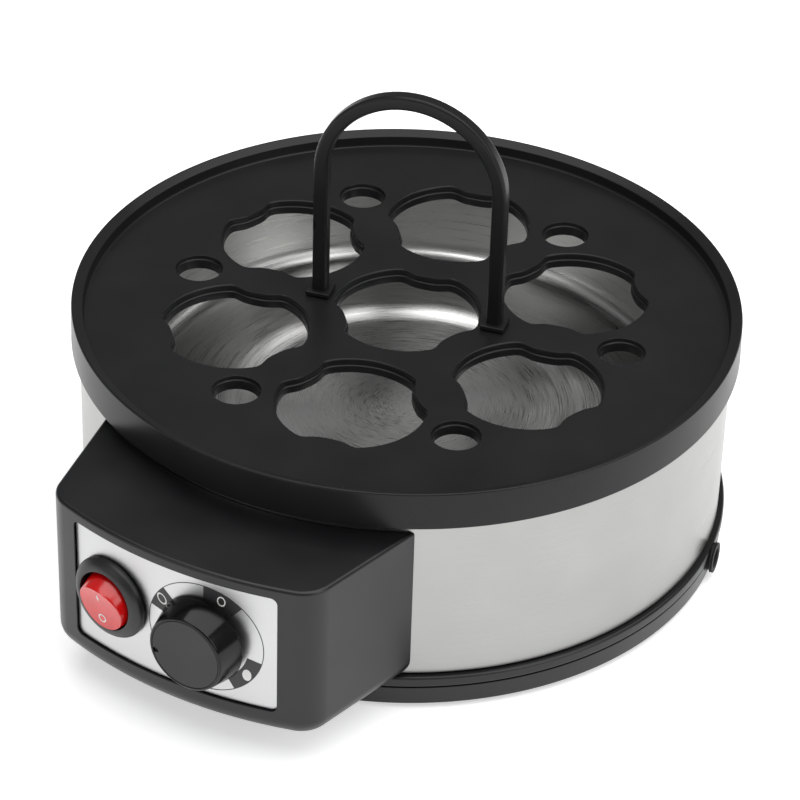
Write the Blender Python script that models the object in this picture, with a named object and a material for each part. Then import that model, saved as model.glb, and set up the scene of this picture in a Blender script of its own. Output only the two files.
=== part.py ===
"""Egg cooker: a round electric cooker for seven eggs, drawn as the pieces it comes apart into.

Units are metres. +Z is up and the control panel faces -Y. Heights in the constants are measured
from the underside of the body's base ring, and radii from the round body's upright centre line.
The empty "cooker_axis" carries everything, and sets the model on the floor with the middle of
its whole plan outline at the origin.
"""
from math import asin, atan2, cos, pi, radians, sin, sqrt, tan

import bmesh
import bpy
from mathutils import Matrix, Vector

MM = 0.001
GAP = 0.3 * MM                    # between pieces that touch on the real cooker

# Round body: base ring, bead and steel jacket
JACKET_RADIUS = 88.0 * MM
JACKET_THICKNESS = 0.6 * MM
JACKET_HEIGHT = 50.6 * MM
BASE_OVERHANG = 1.1 * MM          # base ring outside the jacket, at the floor
BASE_BAND_HEIGHT = 5.7 * MM
BASE_FLARE = 0.4 * MM             # how much wider the band is at its top
BASE_EDGE = 0.6 * MM              # broken edges of the band and the bead
BEAD_OVERHANG = 1.7 * MM
BEAD_HEIGHT = 3.1 * MM
BEAD_GROOVE = 0.3 * MM            # fine line between the band and the bead
SHELL_WALL = 2.2 * MM
SHELL_LEDGE_WIDTH = 5.1 * MM      # inward ledge under the dish
SHELL_LEDGE_THICKNESS = 2.2 * MM
SHELL_LEDGE_DROP = 1.2 * MM       # ledge top below the jacket's top edge
WINDOW_WIDTH = 40.0 * MM          # opening for the wires behind the control box
WINDOW_INSET_LOW = 8.8 * MM       # window's edges from the box's bottom and top
WINDOW_INSET_TOP = 9.7 * MM
CUT_INWARDS = 12.0 * MM           # reach of cutters through the round wall, from the jacket
CUT_OUTWARDS = 6.0 * MM

# Underside
COVER_RECESS = 1.8 * MM
COVER_THICKNESS = 1.8 * MM
VENT_COUNT = 6
VENT_CIRCLE = 40.0 * MM
VENT_LENGTH = 14.0 * MM
VENT_WIDTH = 3.0 * MM
FOOT_COUNT = 4
FOOT_INSET = 13.0 * MM            # foot circle inside the base screws' circle
FOOT_RADIUS = 7.0 * MM
FOOT_EDGE = 1.0 * MM
FOOT_PROUD = 1.5 * MM             # how far the rubber stands below the base ring
FOOT_STEM_RADIUS = 2.5 * MM
FOOT_BARB_RADIUS = 3.6 * MM
FOOT_BARB_HEIGHT = 1.6 * MM
BASE_SCREW_COUNT = 4
BASE_SCREW_INSET = 3.9 * MM       # screw circle inside the shell's wall
BASE_BOSS_RADIUS = 4.5 * MM
BASE_BOSS_HEIGHT = 17.0 * MM
BASE_BOSS_ROOF = 2.0 * MM
SCREW_RADIUS = 1.5 * MM
SCREW_TIP = 1.0 * MM
SCREW_HEAD_RADIUS = 2.8 * MM
SCREW_HEAD_HEIGHT = 1.4 * MM
SCREW_CROWN_RADIUS = 2.0 * MM     # flat top of the head
SCREW_EDGE_HEIGHT = 0.8 * MM
BASE_SCREW_LENGTH = 14.0 * MM

# Mains entry and what stands on the bottom cover
GLAND_ANGLE = 11.0
GLAND_Z = 5.0 * MM
GLAND_RADIUS = 3.6 * MM
GLAND_COLLAR_RADIUS = 4.3 * MM
GLAND_COLLAR_LENGTH = 0.9 * MM
GLAND_BORE_RADIUS = 2.7 * MM
BLOCK_SIZE = (16.0 * MM, 22.0 * MM, 8.0 * MM)
BLOCK_INSET = 22.9 * MM           # block's middle inside the shell's wall
BLOCK_PITCH = 7.3 * MM
BLOCK_WELL_RADIUS = 2.2 * MM
BLOCK_WELL_DEPTH = 3.0 * MM
BLOCK_WIRE_X = 4.0 * MM
BUZZER_RADIUS = 11.0 * MM
BUZZER_HEIGHT = 8.0 * MM
BUZZER_MOUTH_RADIUS = 1.5 * MM
BUZZER_INSET = 37.9 * MM          # buzzer's middle inside the shell's wall
BUZZER_ANGLE = 216.0

# Heating dish and its gasket and clips
DISH_THICKNESS = 0.8 * MM
DISH_DEPTH = 27.2 * MM
DISH_FLANGE_WIDTH = 9.4 * MM
DISH_TAPER = 3.0 * MM             # floor's edge inside the mouth's edge
DISH_LIP = 1.4 * MM
DISH_CORNER = 6.0 * MM
DISH_STEP_RADIUS = 45.3 * MM
DISH_STEP_DEPTH = 1.5 * MM
GASKET_THICKNESS = 1.0 * MM
CLIP_COUNT = 3
CLIP_WIDTH = 12.0 * MM
CLIP_HEIGHT = 10.0 * MM
CLIP_TOE = 3.6 * MM

# Heater stack, from the dish's underside downwards
ELEMENT_INSET = 18.6 * MM         # element's circle inside the edge of the dish's floor
ELEMENT_TUBE_RADIUS = 3.3 * MM
SPREADER_HALF_WIDTH = 9.0 * MM
SPREADER_THICKNESS = 2.5 * MM
ELEMENT_GAP_ANGLE = 40.0          # open part of the ring, facing the control box
ELEMENT_BEND = 5.0 * MM
ELEMENT_TAIL = 7.0 * MM           # tube ends below the ring's level, more than the bend
PIN_RADIUS = 1.2 * MM
PIN_LENGTH = 5.5 * MM
STUD_RADIUS = 2.0 * MM
STUD_LENGTH = 23.0 * MM
NUT_FLATS = 7.0 * MM
NUT_HEIGHT = 3.2 * MM
CLAMP_REACH = 6.0 * MM            # clamp bar's end outside the element's circle
CLAMP_WIDTH = 14.0 * MM
STRAP_WIDTH = 10.0 * MM
STRAP_LENGTH = 44.0 * MM
STRAP_THICKNESS = 1.2 * MM        # of the clamp bar and the thermostat's strap
STRAP_END = 1.0 * MM              # strap beyond the thermostat
CUTOUT_RADIUS = 8.0 * MM
CUTOUT_Y = 26.0 * MM
CUTOUT_CAP_HEIGHT = 3.0 * MM
CUTOUT_CAP_EDGE = 1.0 * MM        # cap wider than the body below it
CUTOUT_BLADE = (6.0 * MM, 5.0 * MM, 0.8 * MM)
FUSE_X = 28.0 * MM
FUSE_RADIUS = 2.6 * MM
FUSE_LENGTH = 20.0 * MM
FUSE_LEAD_RADIUS = 0.6 * MM
FUSE_LEAD_LENGTH = 8.0 * MM
FUSE_CLIP_WIDTH = 8.0 * MM
FUSE_CLIP_THICKNESS = 0.8 * MM
FUSE_CLIP_FOOT = 5.0 * MM
SHIELD_HALF_WIDTH = 9.0 * MM      # shield's wall outside the element's circle
SHIELD_THICKNESS = 0.6 * MM
SHIELD_RIM = 3.5 * MM

# Egg tray
RIM_LIP_WIDTH = 3.0 * MM
RIM_LIP_DROP = 1.0 * MM
RIM_LEAN = 0.3 * MM               # foot of the rim's inner side inside its lip
RIM_EDGE = 0.5 * MM
RIM_HEIGHT = 4.0 * MM             # rim top above the deck
SKIRT_DEPTH = 10.6 * MM           # rim top to the skirt's lower edge
SKIRT_WALL = 1.8 * MM
SKIRT_FLARE = 0.2 * MM
SKIRT_CLEARANCE = 0.4 * MM        # loose fit round the jacket
DECK_THICKNESS = 2.1 * MM
PATTERN_ANGLE = 12.7              # the handle's line, and the first small hole
EGG_HOLE_RADIUS = 20.0 * MM
EGG_CIRCLE = 46.9 * MM
OUTER_EGG_COUNT = 6
TAB_COUNT = 3
TAB_REACH = 3.1 * MM              # how far each supporting tab stands into a hole
TAB_RADIUS = 8.9 * MM
COLLAR_WALL = 1.6 * MM
COLLAR_DEPTH = 4.0 * MM
STEAM_HOLE_RADIUS = 6.4 * MM
STEAM_CIRCLE = 59.7 * MM
STEAM_HOLE_COUNT = 6

# Lifting handle
HANDLE_HALF_WIDTH = 26.6 * MM
HANDLE_BAR = 4.0 * MM
HANDLE_DEPTH = 4.1 * MM
HANDLE_EDGE = 0.9 * MM
HANDLE_RISE = 65.8 * MM           # top of the arch above the deck
HANDLE_COLLAR = 1.3 * MM
HANDLE_COLLAR_HEIGHT = 1.4 * MM
HANDLE_TOE_HEIGHT = 1.6 * MM

# Control box
BOX_DEPTH = 28.9 * MM             # jacket to the front, on the centre line
BOX_JOIN_HALF_WIDTH = 46.7 * MM
BOX_ROOT = 8.0 * MM               # sides drawn on into the round body, which is then cut away
BOX_SIDE_SLANT = 11.9
BOX_CORNER = 9.2 * MM
BOX_LOW_Z = 8.2 * MM
BOX_TOP_DROP = 2.3 * MM           # box's top below the tray's skirt
BOX_LOW_EDGE = 5.5 * MM
BOX_TOP_EDGE = 1.0 * MM
BOX_WALL = 2.2 * MM
BOX_SCREW_ANGLE = 18.0
BOX_SCREW_INSET = 5.2 * MM        # screw line from the box's top and bottom
BOX_BOSS_RADIUS = 4.0 * MM
BOX_BOSS_LENGTH = 12.0 * MM
BOX_SCREW_LENGTH = 12.5 * MM

# Faceplate, let into the front of the box
PLATE_SET_BACK = 0.8 * MM
PLATE_THICKNESS = 0.6 * MM
PLATE_HALF_WIDTH = 30.0 * MM
PLATE_INSET_LOW = 7.9 * MM        # plate's edges from the box's bottom and top
PLATE_INSET_TOP = 3.3 * MM
PLATE_CORNER = 1.6 * MM

# Rocker switch
SWITCH_MARGIN = 1.0 * MM          # bezel to the plate's end
SWITCH_RAISE = 0.35 * MM          # switch's middle above the plate's middle
SWITCH_MOUTH_RADIUS = 8.25 * MM
BEZEL_WIDTH = 3.15 * MM
BEZEL_HEIGHT = 3.2 * MM
BEZEL_DOME = ((0.0, 0.9), (0.5, 1.9), (1.5, 2.9), (2.5, 3.2))   # mm in from the edge, mm up
BEZEL_DISH = 0.2 * MM             # mouth's edge below the dome's top
BARREL_WALL = 1.55 * MM
SWITCH_DEPTH = 16.0 * MM
SWITCH_WELL_DEPTH = 7.5 * MM
LAMP_RADIUS = 1.9 * MM
LAMP_TIP_RADIUS = 1.1 * MM
LAMP_LENGTH = 4.8 * MM
LAMP_SHOULDER = 3.4 * MM
LAMP_CROWN = 4.5 * MM
ROCKER_PIVOT_DEPTH = 1.5 * MM
ROCKER_FACET_ANGLE = 5.0
ROCKER_VALLEY = 6.0 * MM          # valley of the rocker's face above its pivot
ROCKER_KEEL = 4.0 * MM
ROCKER_SHOULDER = (0.35 * MM, 3.0 * MM)   # in from the ball's radius, above the pivot
ROCKER_CROWN = (1.25 * MM, 6.9 * MM)
ROCKER_HALF_THROW = 12.0          # each way from level; the lower half is pressed in at rest
BLADE_SIZE = (6.3 * MM, 0.8 * MM, 6.7 * MM)
BLADE_PITCH = 5.5 * MM

# Doneness regulator and its knob
DIAL_X = 10.5 * MM
DIAL_DROP = 0.25 * MM             # knob's axis below the plate's middle
REGULATOR_RADIUS = 12.0 * MM
REGULATOR_DEPTH = 13.0 * MM
REGULATOR_SET_BACK = 5.4 * MM
BUSHING_WALL = 1.2 * MM
BUSHING_PROUD = 3.4 * MM
PANEL_NUT_WALL = 2.0 * MM
PANEL_NUT_HEIGHT = 2.0 * MM
PANEL_NUT_STAND = 0.8 * MM        # nut above the curved plate at the knob's axis
SHAFT_RADIUS = 3.0 * MM
SHAFT_FLAT_DEPTH = 1.0 * MM       # depth of the flat milled along the shaft
SHAFT_DEPTH = 11.0 * MM           # into the regulator
KNOB_STAND = 1.0 * MM
KNOB_FRONT = 8.5 * MM             # front of the knob above the plate
KNOB_BASE_RADIUS = 12.2 * MM
KNOB_FRONT_RADIUS = 10.2 * MM
KNOB_CAVITY_RADIUS = 9.0 * MM
KNOB_CAVITY_DEPTH = 3.0 * MM
KNOB_EDGE = 0.4 * MM
KNOB_CAP_RADIUS = 9.5 * MM
KNOB_CAP_THICKNESS = 0.8 * MM
POINTER_ANGLE = 193.0             # seen from the front, anticlockwise from +X
POINTER_WIDTH = 1.6 * MM
POINTER_LENGTH = 2.0 * MM

WIRE_RADIUS = 1.1 * MM

# Roundness
FINE_STEPS = 64
ROUND_STEPS = 40
SMALL_STEPS = 16
TINY_STEPS = 8

# Levels and radii that follow from the sizes above
BEAD_TOP = BASE_BAND_HEIGHT + BEAD_GROOVE + BEAD_HEIGHT
JACKET_LOW = BEAD_TOP + GAP
JACKET_TOP = JACKET_LOW + JACKET_HEIGHT
BASE_RADIUS = JACKET_RADIUS + BASE_OVERHANG
BEAD_RADIUS = JACKET_RADIUS + BEAD_OVERHANG
SHELL_RADIUS = JACKET_RADIUS - JACKET_THICKNESS - GAP
SHELL_INNER = SHELL_RADIUS - SHELL_WALL
LEDGE_TOP = JACKET_TOP - SHELL_LEDGE_DROP
LEDGE_LOW = LEDGE_TOP - SHELL_LEDGE_THICKNESS
LEDGE_INNER = SHELL_RADIUS - SHELL_LEDGE_WIDTH
COVER_TOP = COVER_RECESS + COVER_THICKNESS
COVER_RADIUS = SHELL_INNER - GAP
STANDING_Z = COVER_TOP + GAP
BASE_SCREW_CIRCLE = SHELL_INNER - BASE_SCREW_INSET
FOOT_CIRCLE = BASE_SCREW_CIRCLE - FOOT_INSET
BLOCK_CIRCLE = SHELL_INNER - BLOCK_INSET
BUZZER_CIRCLE = SHELL_INNER - BUZZER_INSET
DISH_MOUTH_RADIUS = JACKET_RADIUS - DISH_FLANGE_WIDTH
DISH_FOOT_RADIUS = DISH_MOUTH_RADIUS - DISH_TAPER
ELEMENT_CIRCLE = DISH_FOOT_RADIUS - ELEMENT_INSET
FLANGE_LOW = max(JACKET_TOP, LEDGE_TOP + GASKET_THICKNESS + GAP) + GAP
FLANGE_TOP = FLANGE_LOW + DISH_THICKNESS
FLOOR_TOP = FLANGE_TOP - DISH_DEPTH
SPREADER_TOP = FLOOR_TOP - DISH_THICKNESS - GAP
ELEMENT_Z = SPREADER_TOP - SPREADER_THICKNESS - GAP - ELEMENT_TUBE_RADIUS
CENTRE_UNDERSIDE = FLOOR_TOP - DISH_STEP_DEPTH - DISH_THICKNESS
CLAMP_TOP = ELEMENT_Z - ELEMENT_TUBE_RADIUS - GAP
STRAP_TOP = CLAMP_TOP - STRAP_THICKNESS - GAP
UPPER_NUT_TOP = STRAP_TOP - STRAP_THICKNESS - GAP
MIDDLE_NUT_TOP = UPPER_NUT_TOP - NUT_HEIGHT - 2 * GAP
SHIELD_TOP = MIDDLE_NUT_TOP - NUT_HEIGHT - GAP
LOWER_NUT_TOP = SHIELD_TOP - SHIELD_THICKNESS - GAP
DECK_LOW = FLANGE_TOP + GAP
DECK_TOP = DECK_LOW + DECK_THICKNESS
RIM_TOP = DECK_TOP + RIM_HEIGHT
SKIRT_LOW = RIM_TOP - SKIRT_DEPTH
SKIRT_INNER = JACKET_RADIUS + SKIRT_CLEARANCE
SKIRT_RADIUS = SKIRT_INNER + SKIRT_WALL
RIM_RADIUS = SKIRT_RADIUS - SKIRT_FLARE
DECK_RADIUS = RIM_RADIUS - RIM_LIP_WIDTH - RIM_LEAN
BOX_TOP_Z = SKIRT_LOW - BOX_TOP_DROP
BOX_BACK_RADIUS = JACKET_RADIUS + GAP
BOX_FRONT_RADIUS = JACKET_RADIUS + BOX_DEPTH
WINDOW_LOW_Z = BOX_LOW_Z + WINDOW_INSET_LOW
WINDOW_HIGH_Z = BOX_TOP_Z - WINDOW_INSET_TOP
PLATE_RADIUS = BOX_FRONT_RADIUS - PLATE_SET_BACK
PLATE_LOW_Z = BOX_LOW_Z + PLATE_INSET_LOW
PLATE_TOP_Z = BOX_TOP_Z - PLATE_INSET_TOP
PLATE_MIDDLE_Z = (PLATE_LOW_Z + PLATE_TOP_Z) / 2
RECESS_RADIUS = PLATE_RADIUS - PLATE_THICKNESS - GAP
PANEL_INNER = RECESS_RADIUS - BOX_WALL
BEZEL_RADIUS = SWITCH_MOUTH_RADIUS + BEZEL_WIDTH
BARREL_RADIUS = SWITCH_MOUTH_RADIUS + BARREL_WALL
SWITCH_X = SWITCH_MARGIN + BEZEL_RADIUS - PLATE_HALF_WIDTH
SWITCH_Z = PLATE_MIDDLE_Z + SWITCH_RAISE
SWITCH_ANGLE = asin(SWITCH_X / PLATE_RADIUS)
DIAL_Z = PLATE_MIDDLE_Z - DIAL_DROP
SHAFT_FLAT = SHAFT_RADIUS - SHAFT_FLAT_DEPTH
BUSHING_RADIUS = SHAFT_RADIUS + GAP + BUSHING_WALL
PANEL_NUT_FLATS = 2 * (BUSHING_RADIUS + PANEL_NUT_WALL)
DIAL_PLATE_Y = sqrt(PLATE_RADIUS ** 2 - DIAL_X ** 2)
FRONT_REACH = DIAL_PLATE_Y + KNOB_FRONT
AXIS_Y = (FRONT_REACH - SKIRT_RADIUS) / 2


# ---------------------------------------------------------------- scene and materials

def clear_scene():
    for thing in list(bpy.data.objects):
        bpy.data.objects.remove(thing, do_unlink=True)


def make_material(name, colour, roughness, metallic=0.0, alpha=1.0):
    material = bpy.data.materials.new(name)
    material.use_nodes = True
    shader = material.node_tree.nodes["Principled BSDF"]
    shader.inputs["Base Color"].default_value = (*colour, 1.0)
    shader.inputs["Roughness"].default_value = roughness
    shader.inputs["Metallic"].default_value = metallic
    shader.inputs["Alpha"].default_value = alpha
    material.diffuse_color = (*colour, alpha)
    return material


def make_materials():
    return {
        "black_plastic": make_material("black_plastic", (0.020, 0.020, 0.022), 0.42),
        "tray_plastic": make_material("tray_plastic", (0.024, 0.024, 0.025), 0.38),
        "gloss_plastic": make_material("gloss_plastic", (0.012, 0.012, 0.013), 0.16),
        "brushed_steel": make_material("brushed_steel", (0.56, 0.56, 0.55), 0.30, 1.0),
        "polished_steel": make_material("polished_steel", (0.60, 0.60, 0.59), 0.18, 1.0),
        "zinc_steel": make_material("zinc_steel", (0.50, 0.50, 0.48), 0.40, 1.0),
        "aluminium": make_material("aluminium", (0.62, 0.62, 0.63), 0.35, 1.0),
        "silver_plate": make_material("silver_plate", (0.66, 0.66, 0.67), 0.32, 0.9),
        "brass": make_material("brass", (0.60, 0.45, 0.18), 0.30, 1.0),
        "red_lens": make_material("red_lens", (0.60, 0.010, 0.012), 0.12),
        "rubber": make_material("rubber", (0.030, 0.030, 0.030), 0.75),
        "silicone": make_material("silicone", (0.55, 0.16, 0.08), 0.60),
        "white_plastic": make_material("white_plastic", (0.72, 0.71, 0.66), 0.45),
        "brown_phenolic": make_material("brown_phenolic", (0.10, 0.045, 0.025), 0.45),
        "neon_glass": make_material("neon_glass", (0.80, 0.60, 0.50), 0.05, 0.0, 0.6),
        "wire_sleeve": make_material("wire_sleeve", (0.65, 0.63, 0.58), 0.60),
    }


def make_frame(name, parent, location=(0, 0, 0), rotation=(0, 0, 0)):
    frame = bpy.data.objects.new(name, None)
    frame.location = location
    frame.rotation_euler = rotation
    frame.parent = parent
    bpy.context.scene.collection.objects.link(frame)
    return frame


# ---------------------------------------------------------------- solids

def add_object(name, mesh_builder, material, parent):
    """Turn a bmesh into a named object whose round faces are smooth."""
    mesh = bpy.data.meshes.new(name)
    bmesh.ops.recalc_face_normals(mesh_builder, faces=mesh_builder.faces)
    mesh_builder.to_mesh(mesh)
    mesh_builder.free()
    mesh.shade_smooth()
    mesh.set_sharp_from_angle(angle=radians(32))
    if material:
        mesh.materials.append(material)
    thing = bpy.data.objects.new(name, mesh)
    thing.parent = parent
    bpy.context.scene.collection.objects.link(thing)
    return thing


def turned(profile, steps, closed=True):
    """Spin a profile of (radius, height) pairs once round Z."""
    solid = bmesh.new()
    points = [solid.verts.new((radius, 0, height)) for radius, height in profile]
    pairs = list(zip(points, points[1:]))
    if closed:
        pairs.append((points[-1], points[0]))
    on_axis = [point for point in points if point.co.x < 1e-7]
    edges = [solid.edges.new(pair) for pair in pairs
             if not (pair[0] in on_axis and pair[1] in on_axis)]
    bmesh.ops.spin(solid, geom=points + edges, axis=(0, 0, 1), cent=(0, 0, 0),
                   angle=2 * pi, steps=steps, use_merge=True)
    bmesh.ops.remove_doubles(solid, verts=solid.verts, dist=1e-6)
    return solid


def prism(outline, low, high):
    """Extrude a plan outline from one height to another."""
    solid = bmesh.new()
    add_prism(solid, outline, low, high)
    return solid


def add_prism(solid, outline, low, high):
    base = solid.faces.new([solid.verts.new((x, y, low)) for x, y in outline])
    raised = bmesh.ops.extrude_face_region(solid, geom=[base])["geom"]
    moved = [item for item in raised if isinstance(item, bmesh.types.BMVert)]
    bmesh.ops.translate(solid, verts=moved, vec=(0, 0, high - low))


def add_block(solid, size, centre):
    made = bmesh.ops.create_cube(solid, size=1.0)["verts"]
    bmesh.ops.scale(solid, verts=made, vec=size)
    bmesh.ops.translate(solid, verts=made, vec=centre)


def add_cylinder(solid, radius, low, high, steps, place=Matrix.Identity(4)):
    """A closed cylinder along the Z of a local frame."""
    raise_middle = Matrix.Translation((0, 0, (low + high) / 2))
    bmesh.ops.create_cone(solid, cap_ends=True, segments=steps, radius1=radius, radius2=radius,
                          depth=high - low, matrix=place @ raise_middle)


def cylinder(radius, low, high, steps):
    solid = bmesh.new()
    add_cylinder(solid, radius, low, high, steps)
    return solid


def block(size, centre):
    solid = bmesh.new()
    add_block(solid, size, centre)
    return solid


def around(radius, angle, height=0.0):
    """Frame on a circle round the body: local X points outwards."""
    turn = Matrix.Rotation(radians(angle), 4, "Z")
    return turn @ Matrix.Translation((radius, 0, height))


def outwards(angle, height):
    """Frame whose Z runs out from the body's centre line."""
    return Matrix.Rotation(radians(angle), 4, "Z") @ Matrix.Translation((0, 0, height)) @ \
        Matrix.Rotation(radians(90), 4, "Y")


def combine(target, tool_mesh, operation, parent=None):
    """Cut a tool shape from a piece, or join it to the piece."""
    tool = add_object(target.name + "_" + operation.lower() + "_tool", tool_mesh, None,
                      parent or target.parent)
    tool.hide_render = True
    tool.display_type = "WIRE"
    step = target.modifiers.new(operation.title(), "BOOLEAN")
    step.operation = operation
    step.solver = "EXACT"
    step.object = tool


def cut(target, tool_mesh, parent=None):
    combine(target, tool_mesh, "DIFFERENCE", parent)


def join(target, tool_mesh, parent=None):
    combine(target, tool_mesh, "UNION", parent)


def offset_line(points, distance):
    """Shift an open line of (radius, height) points to its right-hand side."""
    moved = []
    for index, point in enumerate(points):
        before = points[max(index - 1, 0)]
        after = points[min(index + 1, len(points) - 1)]
        arrive = Vector(point) - Vector(before) if index else Vector(after) - Vector(point)
        leave = Vector(after) - Vector(point) if index < len(points) - 1 else arrive
        first = Vector((arrive.y, -arrive.x)).normalized()
        second = Vector((leave.y, -leave.x)).normalized()
        middle = (first + second).normalized()
        reach = distance / middle.dot(first)
        moved.append((point[0] + middle.x * reach, point[1] + middle.y * reach))
    return moved


def hexagon(flats, centre=(0, 0)):
    corner = flats / sqrt(3)
    return [(centre[0] + corner * cos(radians(60 * step)), centre[1] + corner * sin(radians(60 * step)))
            for step in range(6)]


def smooth_rod(name, route, radius, sides, material, parent, step=5.0 * MM):
    """A round rod or wire along a smooth curve through its route points."""
    points = []
    route = [Vector(point) for point in route]
    padded = [2 * route[0] - route[1], *route, 2 * route[-1] - route[-2]]
    for index in range(1, len(padded) - 2):
        a, b, c, d = padded[index - 1:index + 3]
        count = max(2, round((c - b).length / step))
        for part in range(count):
            t = part / count
            points.append(0.5 * (2 * b + (c - a) * t + (2 * a - 5 * b + 4 * c - d) * t * t
                                 + (3 * b - a - 3 * c + d) * t ** 3))
    points.append(route[-1])
    curve = bpy.data.curves.new(name, "CURVE")
    curve.dimensions = "3D"
    spline = curve.splines.new("POLY")
    spline.points.add(len(points) - 1)
    for place, point in zip(spline.points, points):
        place.co = (*point, 1.0)
    curve.bevel_depth = radius
    curve.bevel_resolution = sides // 4
    curve.use_fill_caps = True
    curve.materials.append(material)
    rod = bpy.data.objects.new(name, curve)
    rod.parent = parent
    bpy.context.scene.collection.objects.link(rod)
    return rod


# ---------------------------------------------------------------- round body

def make_body_shell(materials, axis):
    """Inner plastic body: base ring, bead, wall and the ledge that carries the dish."""
    band_top = BASE_RADIUS + BASE_FLARE
    groove = SHELL_RADIUS + (band_top - SHELL_RADIUS) / 2
    bead_low = BASE_BAND_HEIGHT + BEAD_GROOVE
    edge = BASE_EDGE
    profile = [
        (SHELL_INNER, 0), (BASE_RADIUS - edge, 0), (BASE_RADIUS, edge),
        (band_top, BASE_BAND_HEIGHT),
        (groove, BASE_BAND_HEIGHT), (groove, bead_low), (BEAD_RADIUS - edge, bead_low),
        (BEAD_RADIUS, bead_low + edge), (BEAD_RADIUS, BEAD_TOP - edge),
        (BEAD_RADIUS - edge, BEAD_TOP),
        (SHELL_RADIUS, BEAD_TOP), (SHELL_RADIUS, LEDGE_TOP), (LEDGE_INNER, LEDGE_TOP),
        (LEDGE_INNER, LEDGE_LOW), (SHELL_INNER, LEDGE_LOW),
    ]
    shell = add_object("body_shell", turned(profile, FINE_STEPS), materials["black_plastic"], axis)
    boss_top = STANDING_Z + BASE_BOSS_HEIGHT
    bosses = bmesh.new()
    for angle in base_screw_angles():
        add_cylinder(bosses, BASE_BOSS_RADIUS, STANDING_Z, boss_top, SMALL_STEPS,
                     around(BASE_SCREW_CIRCLE, angle))
    join(shell, bosses)
    holes = bmesh.new()
    for angle in base_screw_angles():
        add_cylinder(holes, SCREW_RADIUS + GAP, 0, boss_top - BASE_BOSS_ROOF, TINY_STEPS,
                     around(BASE_SCREW_CIRCLE, angle))
    cut(shell, holes)
    cut(shell, wall_openings())
    cut(shell, gland_opening())
    return shell


def make_steel_jacket(materials, axis):
    profile = [(JACKET_RADIUS - JACKET_THICKNESS, JACKET_LOW), (JACKET_RADIUS, JACKET_LOW),
               (JACKET_RADIUS, JACKET_TOP), (JACKET_RADIUS - JACKET_THICKNESS, JACKET_TOP)]
    jacket = add_object("steel_jacket", turned(profile, FINE_STEPS), materials["brushed_steel"], axis)
    cut(jacket, wall_openings())


def wall_openings():
    """Wire window and screw holes behind the control box."""
    openings = bmesh.new()
    height = WINDOW_HIGH_Z - WINDOW_LOW_Z
    add_block(openings, (WINDOW_WIDTH, 2 * CUT_INWARDS, height),
              (0, -JACKET_RADIUS, WINDOW_LOW_Z + height / 2))
    for angle, level in box_screw_places():
        add_cylinder(openings, SCREW_RADIUS + GAP, JACKET_RADIUS - CUT_INWARDS,
                     JACKET_RADIUS + CUT_OUTWARDS, TINY_STEPS, outwards(angle, level))
    return openings


def gland_opening():
    opening = bmesh.new()
    add_cylinder(opening, GLAND_RADIUS + GAP, JACKET_RADIUS - CUT_INWARDS,
                 JACKET_RADIUS + CUT_OUTWARDS, SMALL_STEPS, outwards(GLAND_ANGLE, GLAND_Z))
    return opening


def base_screw_angles():
    return [45 + 360 * index / BASE_SCREW_COUNT for index in range(BASE_SCREW_COUNT)]


def foot_angles():
    return [45 + 360 * index / FOOT_COUNT for index in range(FOOT_COUNT)]


def box_screw_places():
    """Angle round the body and height of each screw that holds the control box."""
    levels = (BOX_LOW_Z + BOX_SCREW_INSET, BOX_TOP_Z - BOX_SCREW_INSET)
    return [(270 + side * BOX_SCREW_ANGLE, level) for side in (-1, 1) for level in levels]


def make_bottom_cover(materials, axis):
    disc = cylinder(COVER_RADIUS, COVER_RECESS, COVER_TOP, ROUND_STEPS)
    cover = add_object("bottom_cover", disc, materials["black_plastic"], axis)
    holes = bmesh.new()
    for angle in base_screw_angles():
        add_cylinder(holes, SCREW_RADIUS + GAP, 0, COVER_TOP + MM, TINY_STEPS,
                     around(BASE_SCREW_CIRCLE, angle))
    for angle in foot_angles():
        add_cylinder(holes, FOOT_STEM_RADIUS + GAP, 0, COVER_TOP + MM, SMALL_STEPS,
                     around(FOOT_CIRCLE, angle))
    add_cylinder(holes, GLAND_RADIUS + GAP, COVER_RADIUS - CUT_OUTWARDS, COVER_RADIUS + CUT_OUTWARDS,
                 SMALL_STEPS, outwards(GLAND_ANGLE, GLAND_Z))
    for index in range(VENT_COUNT):
        slot = around(VENT_CIRCLE, 360 * index / VENT_COUNT, (COVER_RECESS + COVER_TOP) / 2)
        made = bmesh.ops.create_cube(holes, size=1.0)["verts"]
        bmesh.ops.scale(holes, verts=made, vec=(VENT_WIDTH, VENT_LENGTH, 2 * COVER_THICKNESS))
        bmesh.ops.transform(holes, matrix=slot, verts=made)
    cut(cover, holes)


def make_feet(materials, axis):
    """Push-in rubber feet; each stem passes the cover and its barb holds above it."""
    seat = COVER_RECESS - GAP
    barb_low = COVER_TOP + GAP
    profile = [
        (0, -FOOT_PROUD), (FOOT_RADIUS - FOOT_EDGE, -FOOT_PROUD),
        (FOOT_RADIUS, -FOOT_PROUD + FOOT_EDGE), (FOOT_RADIUS, seat), (FOOT_STEM_RADIUS, seat),
        (FOOT_STEM_RADIUS, barb_low), (FOOT_BARB_RADIUS, barb_low),
        (FOOT_STEM_RADIUS - FOOT_EDGE, barb_low + FOOT_BARB_HEIGHT),
        (0, barb_low + FOOT_BARB_HEIGHT),
    ]
    for number, angle in enumerate(foot_angles(), start=1):
        spot = make_frame("foot_place_%d" % number, axis, around(FOOT_CIRCLE, angle).translation)
        add_object("foot_%d" % number, turned(profile, SMALL_STEPS), materials["rubber"], spot)


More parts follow.
